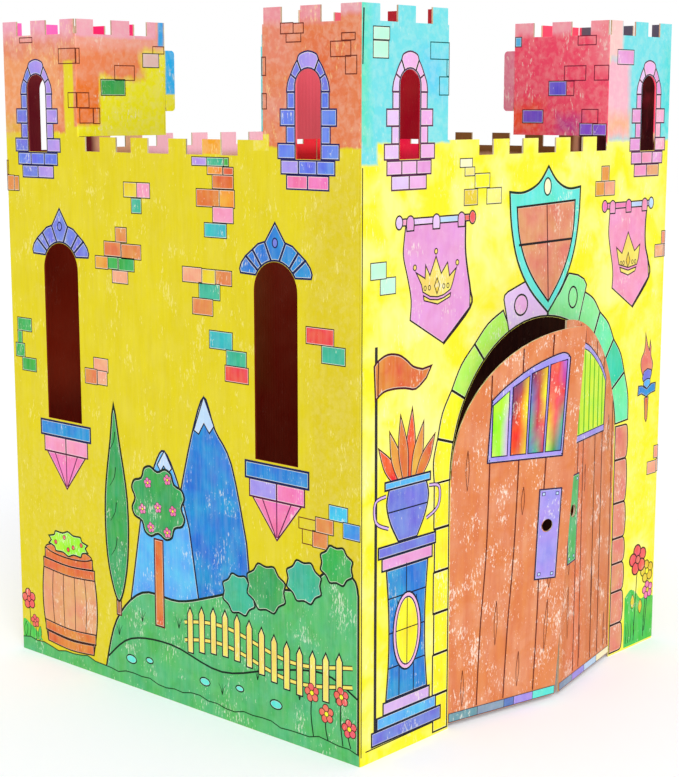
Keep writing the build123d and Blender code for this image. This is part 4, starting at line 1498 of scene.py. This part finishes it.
class CASTLE_OT_print_flowers(bpy.types.Operator):
    """Print the flowers and grass at the foot of the walls"""
    bl_idname = "castle.print_flowers"
    bl_label = "Print the Flowers"

    def execute(self, context):
        pen = "0E3414"
        right = Drawing()
        mound = curve([(716, 96), (734, 108), (752, 100), (770, 84), (792, 88), (812, 80)], 4)
        right.cell(mound + [(812, 3), (716, 3)], "fern", line=0, gap=0)
        for i, (x, z, size, crayon, heart) in enumerate(((792, 96, 17, "hot pink", "gold"),
                                                         (788, 132, 21, "gold", "yellow"),
                                                         (756, 160, 28, "coral", "salmon"))):
            right.stroke(curve([(x - 8, 20), (x - 4, z * 0.55), (x, z)], 4), 1.9, pen, layer=0.5 + 0.2 * i)
            right.flower(x, z, size, crayon, heart, 1.2 + 1.8 * i)
        for x, z in ((742, 84), (768, 70)):
            leaf = flowing([(x, z - 14), (x - 7, z), (x, z + 14), (x + 7, z)], 3)
            right.cell(leaf, "gold", line=1.2, pen=pen, layer=1, gap=0)
        for x in (722, 730, 738, 748, 780):
            right.stroke([(x, 10), (x + 2, 28), (x - 2, 50)], 1.9, pen, layer=0.8, taper=(1, 0.3))
        right.press("flowers_front_wall", FRONT)

        left = Drawing()
        left.cell(curve([(3, 22), (4, 56), (24, 50), (44, 40), (60, 26)], 3), "fern", line=0, gap=0)
        for i, (x, z, size) in enumerate(((38, 58, 12), (22, 96, 19))):
            left.stroke(curve([(x - 2, 22), (x + 3, z * 0.5), (x, z)], 4), 1.6, pen, layer=0.4 + 0.2 * i)
            left.flower(x, z, size, "coral", "coral", 1.0 + 1.8 * i)
        for x in (10, 50):
            left.cell(flowing([(x, 24), (x - 5, 38), (x + 2, 52), (x + 6, 38)], 3), "fern", line=1.1, pen=pen,
                      layer=0.8, gap=0)
        left.press("flowers_left_wall", LEFT)
        return {"FINISHED"}


class CASTLE_OT_print_ground(bpy.types.Operator):
    """Print the strip of grass along the foot of the left, right and back walls"""
    bl_idname = "castle.print_ground"
    bl_label = "Print the Ground"

    def execute(self, context):
        pen = "16401C"
        walls = (("ground_left_wall", LEFT, 2), ("ground_right_wall", RIGHT, 4), ("ground_back_wall", BACK, 4))
        for name, wall, low in walls:
            strip = Drawing()
            count = 40
            top = [(low + (811 - low) * i / count, 22 + 3 * math.sin(i * 0.9) + 2 * math.sin(i * 2.3))
                   for i in range(count + 1)]
            strip.cell(top + [(811, 0.3), (low, 0.3)], "meadow", line=0, gap=0, layer=1.8)
            strip.stroke(top, 1.9, pen, layer=2.2)
            strip.press(name, wall)
        return {"FINISHED"}


# ---- stage ----------------------------------------------------------------------------------

class CASTLE_OT_set_stage(bpy.types.Operator):
    """Set the floor, the light and the camera of the photograph"""
    bl_idname = "castle.set_stage"
    bl_label = "Set the Stage"

    def execute(self, context):
        studio = context.scene.castle_studio
        self.floor(context, studio)
        self.light(context, studio)
        self.camera(context)
        context.scene.view_settings.view_transform = "Standard"
        return {"FINISHED"}

    def floor(self, context, studio):
        """A pale floor that the camera sees a little brighter than it is."""
        bm = bmesh.new()
        bmesh.ops.create_grid(bm, x_segments=8, y_segments=8, size=FLOOR_REACH)
        mesh = bpy.data.meshes.new("floor")
        bm.to_mesh(mesh)
        bm.free()
        floor = bpy.data.objects.new("floor", mesh)
        context.scene.collection.objects.link(floor)
        made, tree, shader = start_material("studio_floor", 0.8)
        cloud = noise(tree, object_place(tree), 3.0, 2.0)
        tone = blend_in(tree, (0.885, 0.90, 0.945), (0.855, 0.87, 0.92), maths(tree, "MULTIPLY", cloud, 0.5))
        tree.links.new(tone, shader.inputs["Base Color"])
        seen = node(tree, "ShaderNodeLightPath").outputs["Is Camera Ray"]
        glow = node(tree, "ShaderNodeEmission",
                    {"Color": (1, 1, 1, 1), "Strength": maths(tree, "MULTIPLY", seen, studio.floor_lift)})
        both = node(tree, "ShaderNodeAddShader", {0: shader.outputs[0], 1: glow.outputs[0]})
        tree.links.new(both.outputs[0], tree.nodes["Material Output"].inputs["Surface"])
        mesh.materials.append(made)

    def light(self, context, studio):
        """An even sky, white where the camera looks at it, and a soft key light from the front left."""
        world = bpy.data.worlds.new("studio")
        world.use_nodes = True
        context.scene.world = world
        tree = world.node_tree
        tree.nodes.clear()
        path = node(tree, "ShaderNodeLightPath")
        either = maths(tree, "MAXIMUM", path.outputs["Is Camera Ray"], path.outputs["Is Glossy Ray"])
        seen = maths(tree, "MAXIMUM", either, path.outputs["Is Transmission Ray"])
        glow = node(tree, "ShaderNodeBackground", {"Color": (1, 1, 1, 1), "Strength": studio.sky_level})
        backdrop = node(tree, "ShaderNodeBackground", {"Color": (1, 1, 1, 1), "Strength": 1.0})
        both = node(tree, "ShaderNodeMixShader", {0: seen, 1: glow.outputs[0], 2: backdrop.outputs[0]})
        node(tree, "ShaderNodeOutputWorld", {"Surface": both.outputs[0]})
        key = bpy.data.objects.new("key", bpy.data.lights.new("key", "SUN"))
        key.data.energy = studio.key_level
        key.data.angle = math.radians(KEY_SPREAD)
        key.rotation_euler = Vector(KEY_DIRECTION).to_track_quat("-Z", "Y").to_euler()
        context.scene.collection.objects.link(key)

    def camera(self, context):
        """The photograph's camera."""
        data = bpy.data.cameras.new("camera")
        data.sensor_fit = "VERTICAL"
        data.sensor_height = SENSOR_HEIGHT
        data.lens = CAMERA_LENS
        camera = bpy.data.objects.new("camera", data)
        camera.location = CAMERA_PLACE
        heading, drop = math.radians(CAMERA_HEADING), math.radians(CAMERA_DROP)
        look = Vector((math.cos(heading) * math.cos(drop), math.sin(heading) * math.cos(drop), -math.sin(drop)))
        camera.rotation_euler = look.to_track_quat("-Z", "Y").to_euler()
        context.scene.collection.objects.link(camera)
        context.scene.camera = camera


class CASTLE_PT_panel(bpy.types.Panel):
    """Lists the castle's printing steps"""
    bl_idname = "CASTLE_PT_panel"
    bl_label = "Cardboard Castle"
    bl_space_type = "VIEW_3D"
    bl_region_type = "UI"
    bl_category = "Castle"

    def draw(self, context):
        scene = context.scene
        for settings in (scene.castle_colours, scene.castle_print, scene.castle_studio):
            for key in settings.bl_rna.properties.keys():
                if key not in {"rna_type", "name"}:
                    self.layout.prop(settings, key)
        for step in STEPS:
            self.layout.operator(step.bl_idname)


SETTINGS = (("castle_colours", CastleColours), ("castle_print", CastlePrint), ("castle_studio", CastleStudio))
STEPS = (
    CASTLE_OT_finish_board, CASTLE_OT_print_bricks, CASTLE_OT_print_tower_windows, CASTLE_OT_print_tall_windows,
    CASTLE_OT_print_shield, CASTLE_OT_print_banners, CASTLE_OT_print_torch_and_pennant, CASTLE_OT_print_arch_stones,
    CASTLE_OT_print_door, CASTLE_OT_print_garden, CASTLE_OT_print_pedestal, CASTLE_OT_print_flowers,
    CASTLE_OT_print_ground, CASTLE_OT_set_stage,
)


def register():
    """Add the castle's settings, printing steps and panel to Blender."""
    for name, kind in SETTINGS:
        bpy.utils.register_class(kind)
        setattr(bpy.types.Scene, name, PointerProperty(type=kind))
    for kind in (*STEPS, CASTLE_PT_panel):
        bpy.utils.register_class(kind)


def unregister():
    """Take them away again."""
    for kind in (CASTLE_PT_panel, *reversed(STEPS)):
        bpy.utils.unregister_class(kind)
    for name, kind in reversed(SETTINGS):
        delattr(bpy.types.Scene, name)
        bpy.utils.unregister_class(kind)


def main():
    """Print and light the castle."""
    register()
    for step in STEPS:
        family, verb = step.bl_idname.split(".")
        getattr(getattr(bpy.ops, family), verb)()


if __name__ == "__main__":
    main()
